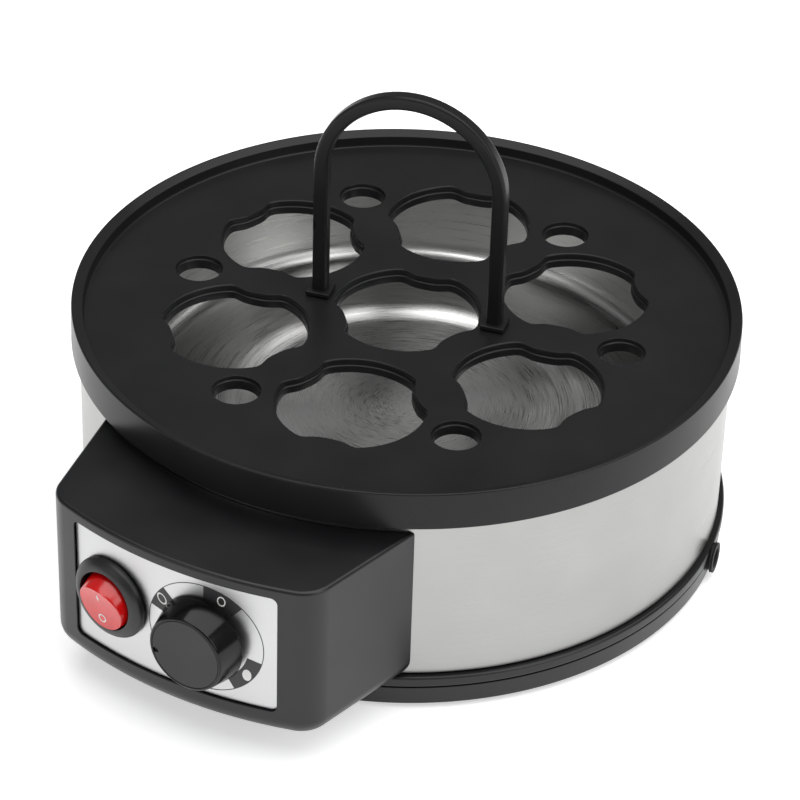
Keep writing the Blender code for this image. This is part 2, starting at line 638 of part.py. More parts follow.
def make_screw(name, length, place, materials, axis):
    """Round-headed screw; the place's Z runs along the shank from under the head."""
    head_top = -SCREW_HEAD_HEIGHT
    screw = turned([(0, head_top), (SCREW_CROWN_RADIUS, head_top),
                    (SCREW_HEAD_RADIUS, -SCREW_EDGE_HEIGHT), (SCREW_HEAD_RADIUS, 0),
                    (SCREW_RADIUS, 0), (SCREW_RADIUS, length - SCREW_TIP), (0, length)], TINY_STEPS)
    bmesh.ops.transform(screw, matrix=place, verts=screw.verts)
    add_object(name, screw, materials["zinc_steel"], axis)


def make_screws(materials, axis):
    for number, angle in enumerate(base_screw_angles(), start=1):
        place = around(BASE_SCREW_CIRCLE, angle, COVER_RECESS - GAP)
        make_screw("base_screw_%d" % number, BASE_SCREW_LENGTH, place, materials, axis)
    under_head = Matrix.Translation((0, 0, SHELL_INNER - 2 * GAP))
    for number, (angle, level) in enumerate(box_screw_places(), start=1):
        place = outwards(angle, level) @ under_head
        make_screw("box_screw_%d" % number, BOX_SCREW_LENGTH, place, materials, axis)


def make_cord_gland(materials, axis):
    """Bushing that the mains cord enters by; its collar is ribbed by three grooves."""
    start = SHELL_INNER + GAP
    face = BEAD_RADIUS + GAP
    rib = GLAND_COLLAR_LENGTH / 3
    neck = (GLAND_RADIUS + GLAND_COLLAR_RADIUS) / 2
    profile = [(GLAND_BORE_RADIUS, start), (GLAND_RADIUS, start), (GLAND_RADIUS, face),
               (GLAND_COLLAR_RADIUS, face), (GLAND_COLLAR_RADIUS, face + rib), (neck, face + rib),
               (neck, face + 2 * rib), (GLAND_COLLAR_RADIUS, face + 2 * rib),
               (GLAND_COLLAR_RADIUS, face + 3 * rib), (GLAND_BORE_RADIUS, face + 3 * rib)]
    gland = turned(profile, SMALL_STEPS)
    bmesh.ops.transform(gland, matrix=outwards(GLAND_ANGLE, GLAND_Z), verts=gland.verts)
    add_object("cord_gland", gland, materials["rubber"], axis)


def make_terminal_block(materials, axis):
    spot = make_frame("terminal_block_place", axis,
                      around(BLOCK_CIRCLE, GLAND_ANGLE, STANDING_Z).translation,
                      (0, 0, radians(GLAND_ANGLE)))
    block_piece = add_object("terminal_block", block(BLOCK_SIZE, (0, 0, BLOCK_SIZE[2] / 2)),
                             materials["white_plastic"], spot)
    wells = bmesh.new()
    for side in (-1, 0, 1):
        add_cylinder(wells, BLOCK_WELL_RADIUS, BLOCK_SIZE[2] - BLOCK_WELL_DEPTH, BLOCK_SIZE[2] + MM,
                     TINY_STEPS, Matrix.Translation((0, side * BLOCK_PITCH, 0)))
    cut(block_piece, wells)
    for number, side in enumerate((-1, 0, 1), start=1):
        screw = bmesh.new()
        add_cylinder(screw, BLOCK_WELL_RADIUS - 1.5 * GAP, BLOCK_SIZE[2] - BLOCK_WELL_DEPTH + GAP,
                     BLOCK_SIZE[2] - MM, TINY_STEPS,
                     Matrix.Translation((0, side * BLOCK_PITCH, 0)))
        add_object("terminal_screw_%d" % number, screw, materials["brass"], spot)


def make_buzzer(materials, axis):
    spot = make_frame("buzzer_place", axis,
                      around(BUZZER_CIRCLE, BUZZER_ANGLE, STANDING_Z).translation)
    profile = [(0, 0), (BUZZER_RADIUS, 0), (BUZZER_RADIUS, BUZZER_HEIGHT),
               (BUZZER_MOUTH_RADIUS, BUZZER_HEIGHT), (BUZZER_MOUTH_RADIUS, BUZZER_HEIGHT / 2),
               (0, BUZZER_HEIGHT / 2)]
    add_object("buzzer", turned(profile, SMALL_STEPS), materials["gloss_plastic"], spot)


# ---------------------------------------------------------------- heating dish and heater

def dish_surface():
    """Upper side of the dish, from its flange's edge to the middle."""
    low = FLOOR_TOP
    foot = DISH_FOOT_RADIUS
    corner = DISH_CORNER
    fillet = [(foot - corner + corner * cos(radians(turn)), low + corner - corner * sin(radians(turn)))
              for turn in (0, 30, 60, 90)]
    lip_break = DISH_LIP * (1 - cos(radians(45)))
    return [
        (JACKET_RADIUS, FLANGE_TOP), (DISH_MOUTH_RADIUS + DISH_LIP, FLANGE_TOP),
        (DISH_MOUTH_RADIUS + lip_break, FLANGE_TOP - lip_break),
        (DISH_MOUTH_RADIUS, FLANGE_TOP - DISH_LIP), *fillet,
        (DISH_STEP_RADIUS + DISH_STEP_DEPTH / 2, low),
        (DISH_STEP_RADIUS - DISH_STEP_DEPTH / 2, low - DISH_STEP_DEPTH),
        (0, low - DISH_STEP_DEPTH),
    ]


def make_heating_dish(materials, axis):
    top = dish_surface()
    under = offset_line(top, -DISH_THICKNESS)
    under[-1] = (0, under[-1][1])
    profile = top + under[::-1]
    add_object("heating_dish", turned(profile, ROUND_STEPS), materials["polished_steel"], axis)


def make_dish_gasket(materials, axis):
    low = LEDGE_TOP + GAP
    profile = [(LEDGE_INNER + GAP, low), (SHELL_RADIUS - GAP, low),
               (SHELL_RADIUS - GAP, low + GASKET_THICKNESS),
               (LEDGE_INNER + GAP, low + GASKET_THICKNESS)]
    add_object("dish_gasket", turned(profile, ROUND_STEPS), materials["silicone"], axis)


def dish_outside(height):
    """Radius of the dish's outer wall at a height."""
    top = FLANGE_TOP - DISH_LIP
    low = FLOOR_TOP + DISH_CORNER
    share = (height - low) / (top - low)
    return DISH_FOOT_RADIUS + share * (DISH_MOUTH_RADIUS - DISH_FOOT_RADIUS) + DISH_THICKNESS


def make_dish_clips(materials, axis):
    """Bent tabs, welded to the dish, that hook under the shell's ledge."""
    high = LEDGE_LOW - GAP
    low = high - CLIP_HEIGHT
    thick = DISH_THICKNESS
    edge = GAP * 2                         # the dish's facets stand out from its ideal circle
    inner_high = dish_outside(high) + edge
    inner_low = dish_outside(low) + edge
    outline = [(inner_low, low), (inner_low + thick, low), (inner_high + thick, high - thick),
               (inner_high + CLIP_TOE, high - thick), (inner_high + CLIP_TOE, high), (inner_high, high)]
    for number in range(1, CLIP_COUNT + 1):
        angle = 90 + 360 * (number - 1) / CLIP_COUNT
        clip = prism(outline, -CLIP_WIDTH / 2, CLIP_WIDTH / 2)
        stand = Matrix.Rotation(radians(angle), 4, "Z") @ Matrix.Rotation(radians(90), 4, "X")
        bmesh.ops.transform(clip, matrix=stand, verts=clip.verts)
        add_object("dish_clip_%d" % number, clip, materials["zinc_steel"], axis)


def make_heat_spreader(materials, axis):
    low = SPREADER_TOP - SPREADER_THICKNESS
    inner = ELEMENT_CIRCLE - SPREADER_HALF_WIDTH
    outer = ELEMENT_CIRCLE + SPREADER_HALF_WIDTH
    profile = [(inner, low), (outer, low), (outer, SPREADER_TOP), (inner, SPREADER_TOP)]
    add_object("heat_spreader", turned(profile, ROUND_STEPS), materials["aluminium"], axis)


def element_end_angles():
    return (270 + ELEMENT_GAP_ANGLE / 2, 270 - ELEMENT_GAP_ANGLE / 2)


def make_heating_element(materials, axis):
    """Open ring of sheathed tube whose two ends turn down to their pins."""
    first, last = element_end_angles()
    sweep = 360 - ELEMENT_GAP_ANGLE
    steps = 32
    ring = []
    for index in range(steps + 1):
        angle = radians(first + sweep * index / steps)
        ring.append(Vector((ELEMENT_CIRCLE * cos(angle), ELEMENT_CIRCLE * sin(angle), ELEMENT_Z)))
    points = tail_points(ring[0], ring[1])[::-1] + ring[1:-1] + tail_points(ring[-1], ring[-2])
    curve = bpy.data.curves.new("heating_element", "CURVE")
    curve.dimensions = "3D"
    spline = curve.splines.new("POLY")
    spline.points.add(len(points) - 1)
    for place, point in zip(spline.points, points):
        place.co = (*point, 1.0)
    curve.bevel_depth = ELEMENT_TUBE_RADIUS
    curve.bevel_resolution = 2
    curve.use_fill_caps = True
    curve.materials.append(materials["zinc_steel"])
    element = bpy.data.objects.new("heating_element", curve)
    element.parent = axis
    bpy.context.scene.collection.objects.link(element)

    low = ELEMENT_Z - ELEMENT_TAIL - GAP - PIN_LENGTH
    for number, angle in enumerate((first, last), start=1):
        pin = bmesh.new()
        add_cylinder(pin, PIN_RADIUS, low, low + PIN_LENGTH, TINY_STEPS, around(ELEMENT_CIRCLE, angle))
        add_object("element_pin_%d" % number, pin, materials["zinc_steel"], axis)


def tail_points(corner, neighbour):
    """Points of a tube end that turns down below the corner."""
    along = (neighbour - corner).normalized() * ELEMENT_BEND
    drop = Vector((0, 0, ELEMENT_BEND))
    middle = corner + along - drop
    turn = [middle - along * cos(radians(angle)) + drop * sin(radians(angle))
            for angle in (90, 60, 30, 0)]
    return [*turn, corner - Vector((0, 0, ELEMENT_TAIL))]


def make_stud_and_nuts(materials, axis):
    high = CENTRE_UNDERSIDE - GAP
    add_object("centre_stud", cylinder(STUD_RADIUS, high - STUD_LENGTH, high, TINY_STEPS),
               materials["zinc_steel"], axis)
    for number, top in enumerate((UPPER_NUT_TOP, MIDDLE_NUT_TOP, LOWER_NUT_TOP), start=1):
        nut = add_object("stud_nut_%d" % number, prism(hexagon(NUT_FLATS), top - NUT_HEIGHT, top),
                         materials["zinc_steel"], axis)
        cut(nut, stud_hole())


def stud_hole():
    return cylinder(STUD_RADIUS + GAP, LOWER_NUT_TOP - 2 * NUT_HEIGHT, CLAMP_TOP + MM, TINY_STEPS)


def make_clamps(materials, axis):
    bar = block((2 * (ELEMENT_CIRCLE + CLAMP_REACH), CLAMP_WIDTH, STRAP_THICKNESS),
                (0, 0, CLAMP_TOP - STRAP_THICKNESS / 2))
    clamp = add_object("element_clamp", bar, materials["zinc_steel"], axis)
    cut(clamp, stud_hole())
    middle = CUTOUT_Y + CUTOUT_RADIUS + STRAP_END - STRAP_LENGTH / 2
    leaf = block((STRAP_WIDTH, STRAP_LENGTH, STRAP_THICKNESS),
                 (0, middle, STRAP_TOP - STRAP_THICKNESS / 2))
    strap = add_object("thermostat_strap", leaf, materials["zinc_steel"], axis)
    cut(strap, stud_hole())


def make_limit_thermostat(materials, axis):
    """Disc thermostat pressed against the dish, with a blade on each side."""
    low = STRAP_TOP + GAP
    high = CENTRE_UNDERSIDE - GAP
    cap = high - CUTOUT_CAP_HEIGHT
    body = CUTOUT_RADIUS - CUTOUT_CAP_EDGE
    spot = make_frame("limit_thermostat_place", axis, (0, CUTOUT_Y, 0))
    profile = [(0, low), (body, low), (body, cap), (CUTOUT_RADIUS, cap), (CUTOUT_RADIUS, high),
               (0, high)]
    thermostat = add_object("limit_thermostat", turned(profile, SMALL_STEPS),
                            materials["brown_phenolic"], spot)
    blades = block((2 * (CUTOUT_RADIUS + CUTOUT_BLADE[0]), CUTOUT_BLADE[1], CUTOUT_BLADE[2]),
                   (0, 0, (low + cap) / 2))
    join(thermostat, blades)


def make_thermal_fuse(materials, axis):
    """Sleeved fuse lying across the clamp bar under an omega clip."""
    level = CLAMP_TOP + GAP + FUSE_RADIUS
    half = FUSE_LENGTH / 2
    tip = half + FUSE_LEAD_LENGTH
    profile = [(0, -tip), (FUSE_LEAD_RADIUS, -tip), (FUSE_LEAD_RADIUS, -half), (FUSE_RADIUS, -half),
               (FUSE_RADIUS, half), (FUSE_LEAD_RADIUS, half), (FUSE_LEAD_RADIUS, tip), (0, tip)]
    spot = make_frame("thermal_fuse_place", axis, (FUSE_X, 0, level), (radians(90), 0, 0))
    add_object("thermal_fuse", turned(profile, TINY_STEPS), materials["wire_sleeve"], spot)

    inner = FUSE_RADIUS + GAP
    outer = inner + FUSE_CLIP_THICKNESS
    foot_low = GAP - (level - CLAMP_TOP)
    foot_high = foot_low + FUSE_CLIP_THICKNESS
    arc = [radians(180 - 30 * step) for step in range(7)]
    over = [(outer * cos(angle), outer * sin(angle)) for angle in arc]
    under = [(inner * cos(angle), inner * sin(angle)) for angle in arc[::-1]]
    outline = [(-outer - FUSE_CLIP_FOOT, foot_low), (-outer - FUSE_CLIP_FOOT, foot_high),
               (-outer, foot_high), *over, (outer, foot_high), (outer + FUSE_CLIP_FOOT, foot_high),
               (outer + FUSE_CLIP_FOOT, foot_low), (inner, foot_low), *under, (-inner, foot_low)]
    add_object("fuse_clip", prism(outline, -FUSE_CLIP_WIDTH / 2, FUSE_CLIP_WIDTH / 2),
               materials["zinc_steel"], spot)


def make_heat_shield(materials, axis):
    """Shallow steel pan that keeps the heat off the base."""
    low = SHIELD_TOP - SHIELD_THICKNESS
    inner = STUD_RADIUS + GAP
    wall = ELEMENT_CIRCLE + SHIELD_HALF_WIDTH
    top = SHIELD_TOP + SHIELD_RIM
    profile = [(inner, low), (wall + SHIELD_THICKNESS, low), (wall + SHIELD_THICKNESS, top),
               (wall, top), (wall, SHIELD_TOP), (inner, SHIELD_TOP)]
    add_object("heat_shield", turned(profile, ROUND_STEPS), materials["zinc_steel"], axis)


# ---------------------------------------------------------------- tray and handle

def egg_outline(centre_angle, centre_distance, first_tab, grow=0.0):
    """Outline of an egg hole: a circle with round tabs standing into it."""
    hole = EGG_HOLE_RADIUS
    tab_centre = hole - TAB_REACH + TAB_RADIUS
    meet = (tab_centre ** 2 + hole ** 2 - TAB_RADIUS ** 2) / (2 * tab_centre * hole)
    tab_half = atan2(sqrt(1 - meet ** 2), meet)
    points = []
    for tab in range(TAB_COUNT):
        middle = radians(first_tab) + 2 * pi * tab / TAB_COUNT
        for share in (-1, -0.5, 0, 0.5, 1):
            turn = share * tab_half
            across = tab_centre * sin(turn)
            reach = tab_centre * cos(turn) - sqrt(max(TAB_RADIUS ** 2 - across ** 2, 0))
            points.append((middle + turn, reach))
        free = 2 * pi / TAB_COUNT - 2 * tab_half
        for step in range(1, 6):
            points.append((middle + tab_half + free * step / 6, hole))
    centre = Vector((cos(radians(centre_angle)), sin(radians(centre_angle)))) * centre_distance
    return [(centre.x + (reach + grow) * cos(angle), centre.y + (reach + grow) * sin(angle))
            for angle, reach in points]


def egg_holes():
    """Angle and distance of each hole's centre, and the direction of its first tab."""
    places = [(0, 0, PATTERN_ANGLE + 90)]
    for index in range(OUTER_EGG_COUNT):
        angle = PATTERN_ANGLE + 30 + 360 * index / OUTER_EGG_COUNT
        places.append((angle, EGG_CIRCLE, angle))
    return places


def make_egg_tray(materials, tray_frame):
    """Deck, raised rim and skirt in one moulding, with a collar under every egg hole."""
    lip_low = RIM_TOP - RIM_LIP_DROP
    edge = RIM_EDGE
    profile = [
        (DECK_RADIUS, DECK_LOW), (SKIRT_INNER, DECK_LOW), (SKIRT_INNER, SKIRT_LOW),
        (SKIRT_RADIUS - edge / 2, SKIRT_LOW), (SKIRT_RADIUS, SKIRT_LOW + edge / 2),
        (RIM_RADIUS, RIM_TOP - edge), (RIM_RADIUS - edge, RIM_TOP),
        (RIM_RADIUS - RIM_LIP_WIDTH, lip_low), (DECK_RADIUS, DECK_TOP),
    ]
    body = turned(profile, FINE_STEPS, closed=False)
    rims = [edge_item for edge_item in body.edges if edge_item.is_boundary]
    bmesh.ops.holes_fill(body, edges=rims)
    tray = add_object("egg_tray", body, materials["tray_plastic"], tray_frame)
    collars = bmesh.new()
    for place in egg_holes():
        add_prism(collars, egg_outline(*place, grow=COLLAR_WALL), DECK_TOP - COLLAR_DEPTH,
                  DECK_TOP - DECK_THICKNESS / 2)
    join(tray, collars)
    holes = bmesh.new()
    for place in egg_holes():
        add_prism(holes, egg_outline(*place), DECK_LOW - COLLAR_DEPTH, DECK_TOP + MM)
    for index in range(STEAM_HOLE_COUNT):
        add_cylinder(holes, STEAM_HOLE_RADIUS, DECK_LOW - COLLAR_DEPTH, DECK_TOP + MM, SMALL_STEPS,
                     around(STEAM_CIRCLE, PATTERN_ANGLE + 360 * index / STEAM_HOLE_COUNT))
    cut(tray, holes)
    slots = bmesh.new()
    for side in (-1, 1):
        add_block(slots, (HANDLE_BAR + 2 * GAP, HANDLE_DEPTH + 2 * GAP, 3 * DECK_THICKNESS),
                  (side * (HANDLE_HALF_WIDTH - HANDLE_BAR / 2), 0, (DECK_LOW + DECK_TOP) / 2))
    slot_frame = make_frame("handle_slots", tray_frame, (0, 0, 0), (0, 0, radians(PATTERN_ANGLE)))
    cut(tray, slots, slot_frame)


def bar_section(width, depth, edge, centre_x, level):
    """Horizontal section of the handle's bar, a rectangle with broken edges."""
    half_x = width / 2
    half_y = depth / 2
    corners = [(half_x - edge, half_y), (half_x, half_y - edge), (half_x, edge - half_y),
               (half_x - edge, -half_y), (edge - half_x, -half_y), (-half_x, edge - half_y),
               (-half_x, half_y - edge), (edge - half_x, half_y)]
    return [(centre_x + x, y, level) for x, y in corners]


def make_tray_handle(materials, tray_frame):
    """Rigid arch whose feet pass through the deck; toes below and collars above hold it."""
    spot = make_frame("tray_handle_place", tray_frame, (0, 0, 0), (0, 0, radians(PATTERN_ANGLE)))
    middle = HANDLE_HALF_WIDTH - HANDLE_BAR / 2
    spring_z = DECK_TOP + HANDLE_RISE - HANDLE_HALF_WIDTH
    foot_z = DECK_LOW - GAP - HANDLE_TOE_HEIGHT
    arch = bmesh.new()
    ring = [arch.verts.new(point) for point in
            bar_section(HANDLE_BAR, HANDLE_DEPTH, HANDLE_EDGE, middle, foot_z)]
    start = arch.faces.new(ring)
    riser = bmesh.ops.extrude_face_region(arch, geom=[start])["geom"]
    bmesh.ops.translate(arch, verts=[item for item in riser if isinstance(item, bmesh.types.BMVert)],
                        vec=(0, 0, spring_z - foot_z))
    top_face = next(item for item in riser if isinstance(item, bmesh.types.BMFace))
    turned_part = bmesh.ops.spin(arch, geom=[top_face, *top_face.edges, *top_face.verts],
                                 axis=(0, -1, 0), cent=(0, 0, spring_z), angle=pi, steps=16)
    last = next(item for item in turned_part["geom_last"] if isinstance(item, bmesh.types.BMFace))
    if top_face.is_valid:
        bmesh.ops.delete(arch, geom=[top_face], context="FACES_ONLY")
    drop = bmesh.ops.extrude_face_region(arch, geom=[last])["geom"]
    bmesh.ops.translate(arch, verts=[item for item in drop if isinstance(item, bmesh.types.BMVert)],
                        vec=(0, 0, foot_z - spring_z))
    if last.is_valid:
        bmesh.ops.delete(arch, geom=[last], context="FACES_ONLY")
    bmesh.ops.remove_doubles(arch, verts=arch.verts, dist=1e-6)
    handle = add_object("tray_handle", arch, materials["tray_plastic"], spot)
    stops = bmesh.new()
    long = HANDLE_DEPTH + 2 * HANDLE_COLLAR
    for side in (-1, 1):
        add_block(stops, (HANDLE_BAR + 2 * HANDLE_COLLAR, long, HANDLE_COLLAR_HEIGHT),
                  (side * middle, 0, DECK_TOP + GAP + HANDLE_COLLAR_HEIGHT / 2))
        add_block(stops, (HANDLE_BAR, long, HANDLE_TOE_HEIGHT - GAP / 2),
                  (side * middle, 0, DECK_LOW - GAP - (HANDLE_TOE_HEIGHT - GAP / 2) / 2))
    join(handle, stops)


# ---------------------------------------------------------------- control box

def box_outline(front_radius, side_inset, corner):
    """Plan of the control box: back inside the body, slanted sides and a curved front."""
    slant = radians(BOX_SIDE_SLANT)
    join_y = -sqrt(BOX_BACK_RADIUS ** 2 - BOX_JOIN_HALF_WIDTH ** 2)
    heading = Vector((-sin(slant), -cos(slant)))
    inward = Vector((-cos(slant), sin(slant)))
    start = Vector((BOX_JOIN_HALF_WIDTH, join_y)) + inward * side_inset
    base = start + inward * corner
    along = base.dot(heading)
    reach = -along + sqrt(along ** 2 - base.length_squared + (front_radius - corner) ** 2)
    centre = base + heading * reach
    first = atan2(-inward.y, -inward.x)
    last = atan2(centre.y, centre.x)
    side = [start - heading * BOX_ROOT]
    for step in range(7):
        angle = first + (last - first) * step / 6
        side.append(centre + Vector((cos(angle), sin(angle))) * corner)
    front_angle = last
    half_steps = 9
    arc = []
    for step in range(1, half_steps):
        angle = front_angle + (-pi / 2 - front_angle) * step / half_steps
        arc.append(Vector((cos(angle), sin(angle))) * front_radius)
    right = side + arc
    left = [Vector((-point.x, point.y)) for point in right[::-1]]
    return [tuple(point) for point in [*right, Vector((0, -front_radius)), *left]]


def curved_block(outer_radius, inner_radius, half_width, low, high, steps=12):
    """Slab that follows the curved front between two radii."""
    half = asin(half_width / outer_radius)
    inner_half = asin(half_width / inner_radius)
    outer = [(outer_radius * sin(half * (2 * step / steps - 1)),
              -outer_radius * cos(half * (2 * step / steps - 1))) for step in range(steps + 1)]
    inner = [(inner_radius * sin(inner_half * (1 - 2 * step / steps)),
              -inner_radius * cos(inner_half * (1 - 2 * step / steps))) for step in range(steps + 1)]
    return prism(outer + inner, low, high)


def body_clearance():
    """Round body, grown by the fitting gap, as a tool that shapes the back of the box."""
    bead_room = BEAD_RADIUS + GAP
    profile = [(0, 0), (bead_room, 0), (bead_room, BEAD_TOP + GAP), (BOX_BACK_RADIUS, BEAD_TOP + GAP),
               (BOX_BACK_RADIUS, BOX_TOP_Z + CUT_OUTWARDS), (0, BOX_TOP_Z + CUT_OUTWARDS)]
    return turned(profile, FINE_STEPS)


def bevel_level(solid, level, width, segments):
    """Round the outline's edges that lie at one height."""
    edges = [edge for edge in solid.edges
             if all(abs(vert.co.z - level) < 1e-6 for vert in edge.verts)]
    bmesh.ops.bevel(solid, geom=edges, offset=width, segments=segments, profile=0.5, affect="EDGES")


def make_control_box(materials, axis):
    shape = prism(box_outline(BOX_FRONT_RADIUS, 0, BOX_CORNER), BOX_LOW_Z, BOX_TOP_Z)
    bevel_level(shape, BOX_LOW_Z, BOX_LOW_EDGE, 4)
    bevel_level(shape, BOX_TOP_Z, BOX_TOP_EDGE, 2)
    box = add_object("control_box", shape, materials["black_plastic"], axis)
    inside = prism(box_outline(PANEL_INNER, BOX_WALL, BOX_CORNER - BOX_WALL), BOX_LOW_Z + BOX_WALL,
                   BOX_TOP_Z - BOX_WALL)
    bevel_level(inside, BOX_LOW_Z + BOX_WALL, BOX_LOW_EDGE - BOX_WALL, 3)
    cut(box, inside)
    boss_end = BOX_BACK_RADIUS + BOX_BOSS_LENGTH
    bosses = bmesh.new()
    for angle, level in box_screw_places():
        add_cylinder(bosses, BOX_BOSS_RADIUS, BOX_BACK_RADIUS - BOX_WALL, boss_end, TINY_STEPS,
                     outwards(angle, level))
    join(box, bosses)
    cut(box, body_clearance())
    recess = curved_block(BOX_FRONT_RADIUS + CUT_OUTWARDS, RECESS_RADIUS, PLATE_HALF_WIDTH + GAP,
                          PLATE_LOW_Z - GAP, PLATE_TOP_Z + GAP)
    cut(box, recess)
    pilots = bmesh.new()
    for angle, level in box_screw_places():
        add_cylinder(pilots, SCREW_RADIUS + GAP, BOX_BACK_RADIUS - 2 * BOX_WALL, boss_end - MM,
                     TINY_STEPS, outwards(angle, level))
    cut(box, pilots)
    cut(box, panel_holes())


def switch_place():
    """Frame on the plate at the switch: Z out of the panel, Y up."""
    spot = Vector((SWITCH_X, -PLATE_RADIUS * cos(SWITCH_ANGLE), SWITCH_Z))
    return Matrix.Translation(spot) @ Matrix.Rotation(SWITCH_ANGLE, 4, "Z") @ \
        Matrix.Rotation(radians(90), 4, "X")


def dial_place():
    """Frame on the plate at the knob's axis: Z out of the panel, Y up."""
    spot = Vector((DIAL_X, -DIAL_PLATE_Y, DIAL_Z))
    return Matrix.Translation(spot) @ Matrix.Rotation(radians(90), 4, "X")


def panel_holes():
    holes = bmesh.new()
    add_cylinder(holes, BARREL_RADIUS + GAP, -CUT_INWARDS, CUT_OUTWARDS, 2 * SMALL_STEPS,
                 switch_place())
    add_cylinder(holes, BUSHING_RADIUS + GAP, -CUT_INWARDS, CUT_OUTWARDS, SMALL_STEPS, dial_place())
    return holes


def make_faceplate(materials, axis):
    plate_shape = curved_block(PLATE_RADIUS, PLATE_RADIUS - PLATE_THICKNESS, PLATE_HALF_WIDTH,
                               PLATE_LOW_Z, PLATE_TOP_Z, steps=16)
    corners = [edge for edge in plate_shape.edges
               if abs(edge.verts[0].co.z - edge.verts[1].co.z) < 1e-6
               and all(abs(abs(vert.co.x) - PLATE_HALF_WIDTH) < 1e-6 for vert in edge.verts)]
    bmesh.ops.bevel(plate_shape, geom=corners, offset=PLATE_CORNER, segments=3, profile=0.5,
                    affect="EDGES")
    plate = add_object("faceplate", plate_shape, materials["silver_plate"], axis)
    cut(plate, panel_holes())


# ---------------------------------------------------------------- switch

def make_switch(materials, axis):
    frame = make_frame("switch_place", axis)
    frame.matrix_local = switch_place()
    pit = LAMP_RADIUS + 2 * GAP
    pit_floor = -SWITCH_WELL_DEPTH - LAMP_LENGTH - 2 * GAP
    dome = [(BEZEL_RADIUS - inset * MM, height * MM) for inset, height in BEZEL_DOME]
    profile = [
        (0, -SWITCH_DEPTH), (BARREL_RADIUS, -SWITCH_DEPTH), (BARREL_RADIUS, GAP),
        (BEZEL_RADIUS, GAP), *dome, (SWITCH_MOUTH_RADIUS, BEZEL_HEIGHT - BEZEL_DISH),
        (SWITCH_MOUTH_RADIUS, -SWITCH_WELL_DEPTH), (pit, -SWITCH_WELL_DEPTH), (pit, pit_floor),
        (0, pit_floor),
    ]
    body = add_object("switch_body", turned(profile, 2 * SMALL_STEPS), materials["gloss_plastic"],
                      frame)
    blades = bmesh.new()
    for row in (-1, 0, 1):
        add_block(blades, (BLADE_SIZE[0], BLADE_SIZE[1], BLADE_SIZE[2] + MM),
                  (0, row * BLADE_PITCH, MM / 2 - SWITCH_DEPTH - BLADE_SIZE[2] / 2))
    join(body, blades)

    low = pit_floor + GAP
    lamp = [(0, low), (LAMP_RADIUS, low), (LAMP_RADIUS, low + LAMP_SHOULDER),
            (LAMP_TIP_RADIUS, low + LAMP_CROWN), (0, low + LAMP_LENGTH)]
    add_object("switch_lamp", turned(lamp, TINY_STEPS), materials["neon_glass"], frame)

    pivot = make_frame("rocker_pivot", frame, (0, 0, -ROCKER_PIVOT_DEPTH),
                       (radians(ROCKER_HALF_THROW), 0, 0))
    make_rocker(materials, pivot)


def make_rocker(materials, pivot):
    """Rocker with a round foot, a narrowing crown and a hollowed face, turning about local X."""
    ball = SWITCH_MOUTH_RADIUS - GAP
    low_turn = -asin(ROCKER_KEEL / ball)
    turns = [low_turn * (1 - step / 4) for step in range(5)]
    side = [(ball * cos(turn), ball * sin(turn)) for turn in turns]
    side += [(ball - inset, height) for inset, height in (ROCKER_SHOULDER, ROCKER_CROWN)]
    profile = [(0, -ROCKER_KEEL), *side, (0, side[-1][1])]
    rocker = add_object("rocker", turned(profile, 2 * SMALL_STEPS), materials["red_lens"], pivot)
    reach = 2 * ball                       # well clear of the ball on every side
    rise = tan(radians(ROCKER_FACET_ANGLE)) * reach
    wedge = [(-reach, rise + reach), (-reach, ROCKER_VALLEY + rise), (0, ROCKER_VALLEY),
             (reach, ROCKER_VALLEY + rise), (reach, rise + reach)]
    groove = prism(wedge, -reach, reach)
    stand = Matrix(((0, 0, 1, 0), (1, 0, 0, 0), (0, 1, 0, 0), (0, 0, 0, 1)))
    bmesh.ops.transform(groove, matrix=stand, verts=groove.verts)
    cut(rocker, groove)


# ---------------------------------------------------------------- regulator and knob

def d_outline(radius, flat):
    """Circle with one flat side, for the shaft and its bore."""
    half = atan2(sqrt(radius ** 2 - flat ** 2), flat)
    steps = 14
    turns = [half + (2 * pi - 2 * half) * step / steps for step in range(steps + 1)]
    return [(radius * cos(turn), radius * sin(turn)) for turn in turns]


def make_regulator(materials, axis):
    """Bimetal regulator behind the panel: body, terminals, nut, and the shaft it turns on."""
    frame = make_frame("dial_place", axis)
    frame.matrix_local = dial_place()
    front = -REGULATOR_SET_BACK
    back = front - REGULATOR_DEPTH
    bore = SHAFT_RADIUS + GAP
    profile = [(0, back), (REGULATOR_RADIUS, back), (REGULATOR_RADIUS, front), (BUSHING_RADIUS, front),
               (BUSHING_RADIUS, BUSHING_PROUD), (bore, BUSHING_PROUD), (bore, -SHAFT_DEPTH - GAP),
               (0, -SHAFT_DEPTH - GAP)]
    body = add_object("regulator_body", turned(profile, 2 * SMALL_STEPS), materials["brown_phenolic"],
                      frame)
    blades = bmesh.new()
    for side in (-1, 1):
        add_block(blades, (BLADE_SIZE[1], BLADE_SIZE[0], BLADE_SIZE[2] + MM),
                  (side * BLADE_PITCH, 0, back + MM / 2 - BLADE_SIZE[2] / 2))
    join(body, blades)

    ring = prism(hexagon(PANEL_NUT_FLATS), PANEL_NUT_STAND, PANEL_NUT_STAND + PANEL_NUT_HEIGHT)
    nut = add_object("regulator_nut", ring, materials["zinc_steel"], frame)
    cut(nut, cylinder(BUSHING_RADIUS + GAP, 0, 2 * PANEL_NUT_HEIGHT, SMALL_STEPS))
    return frame


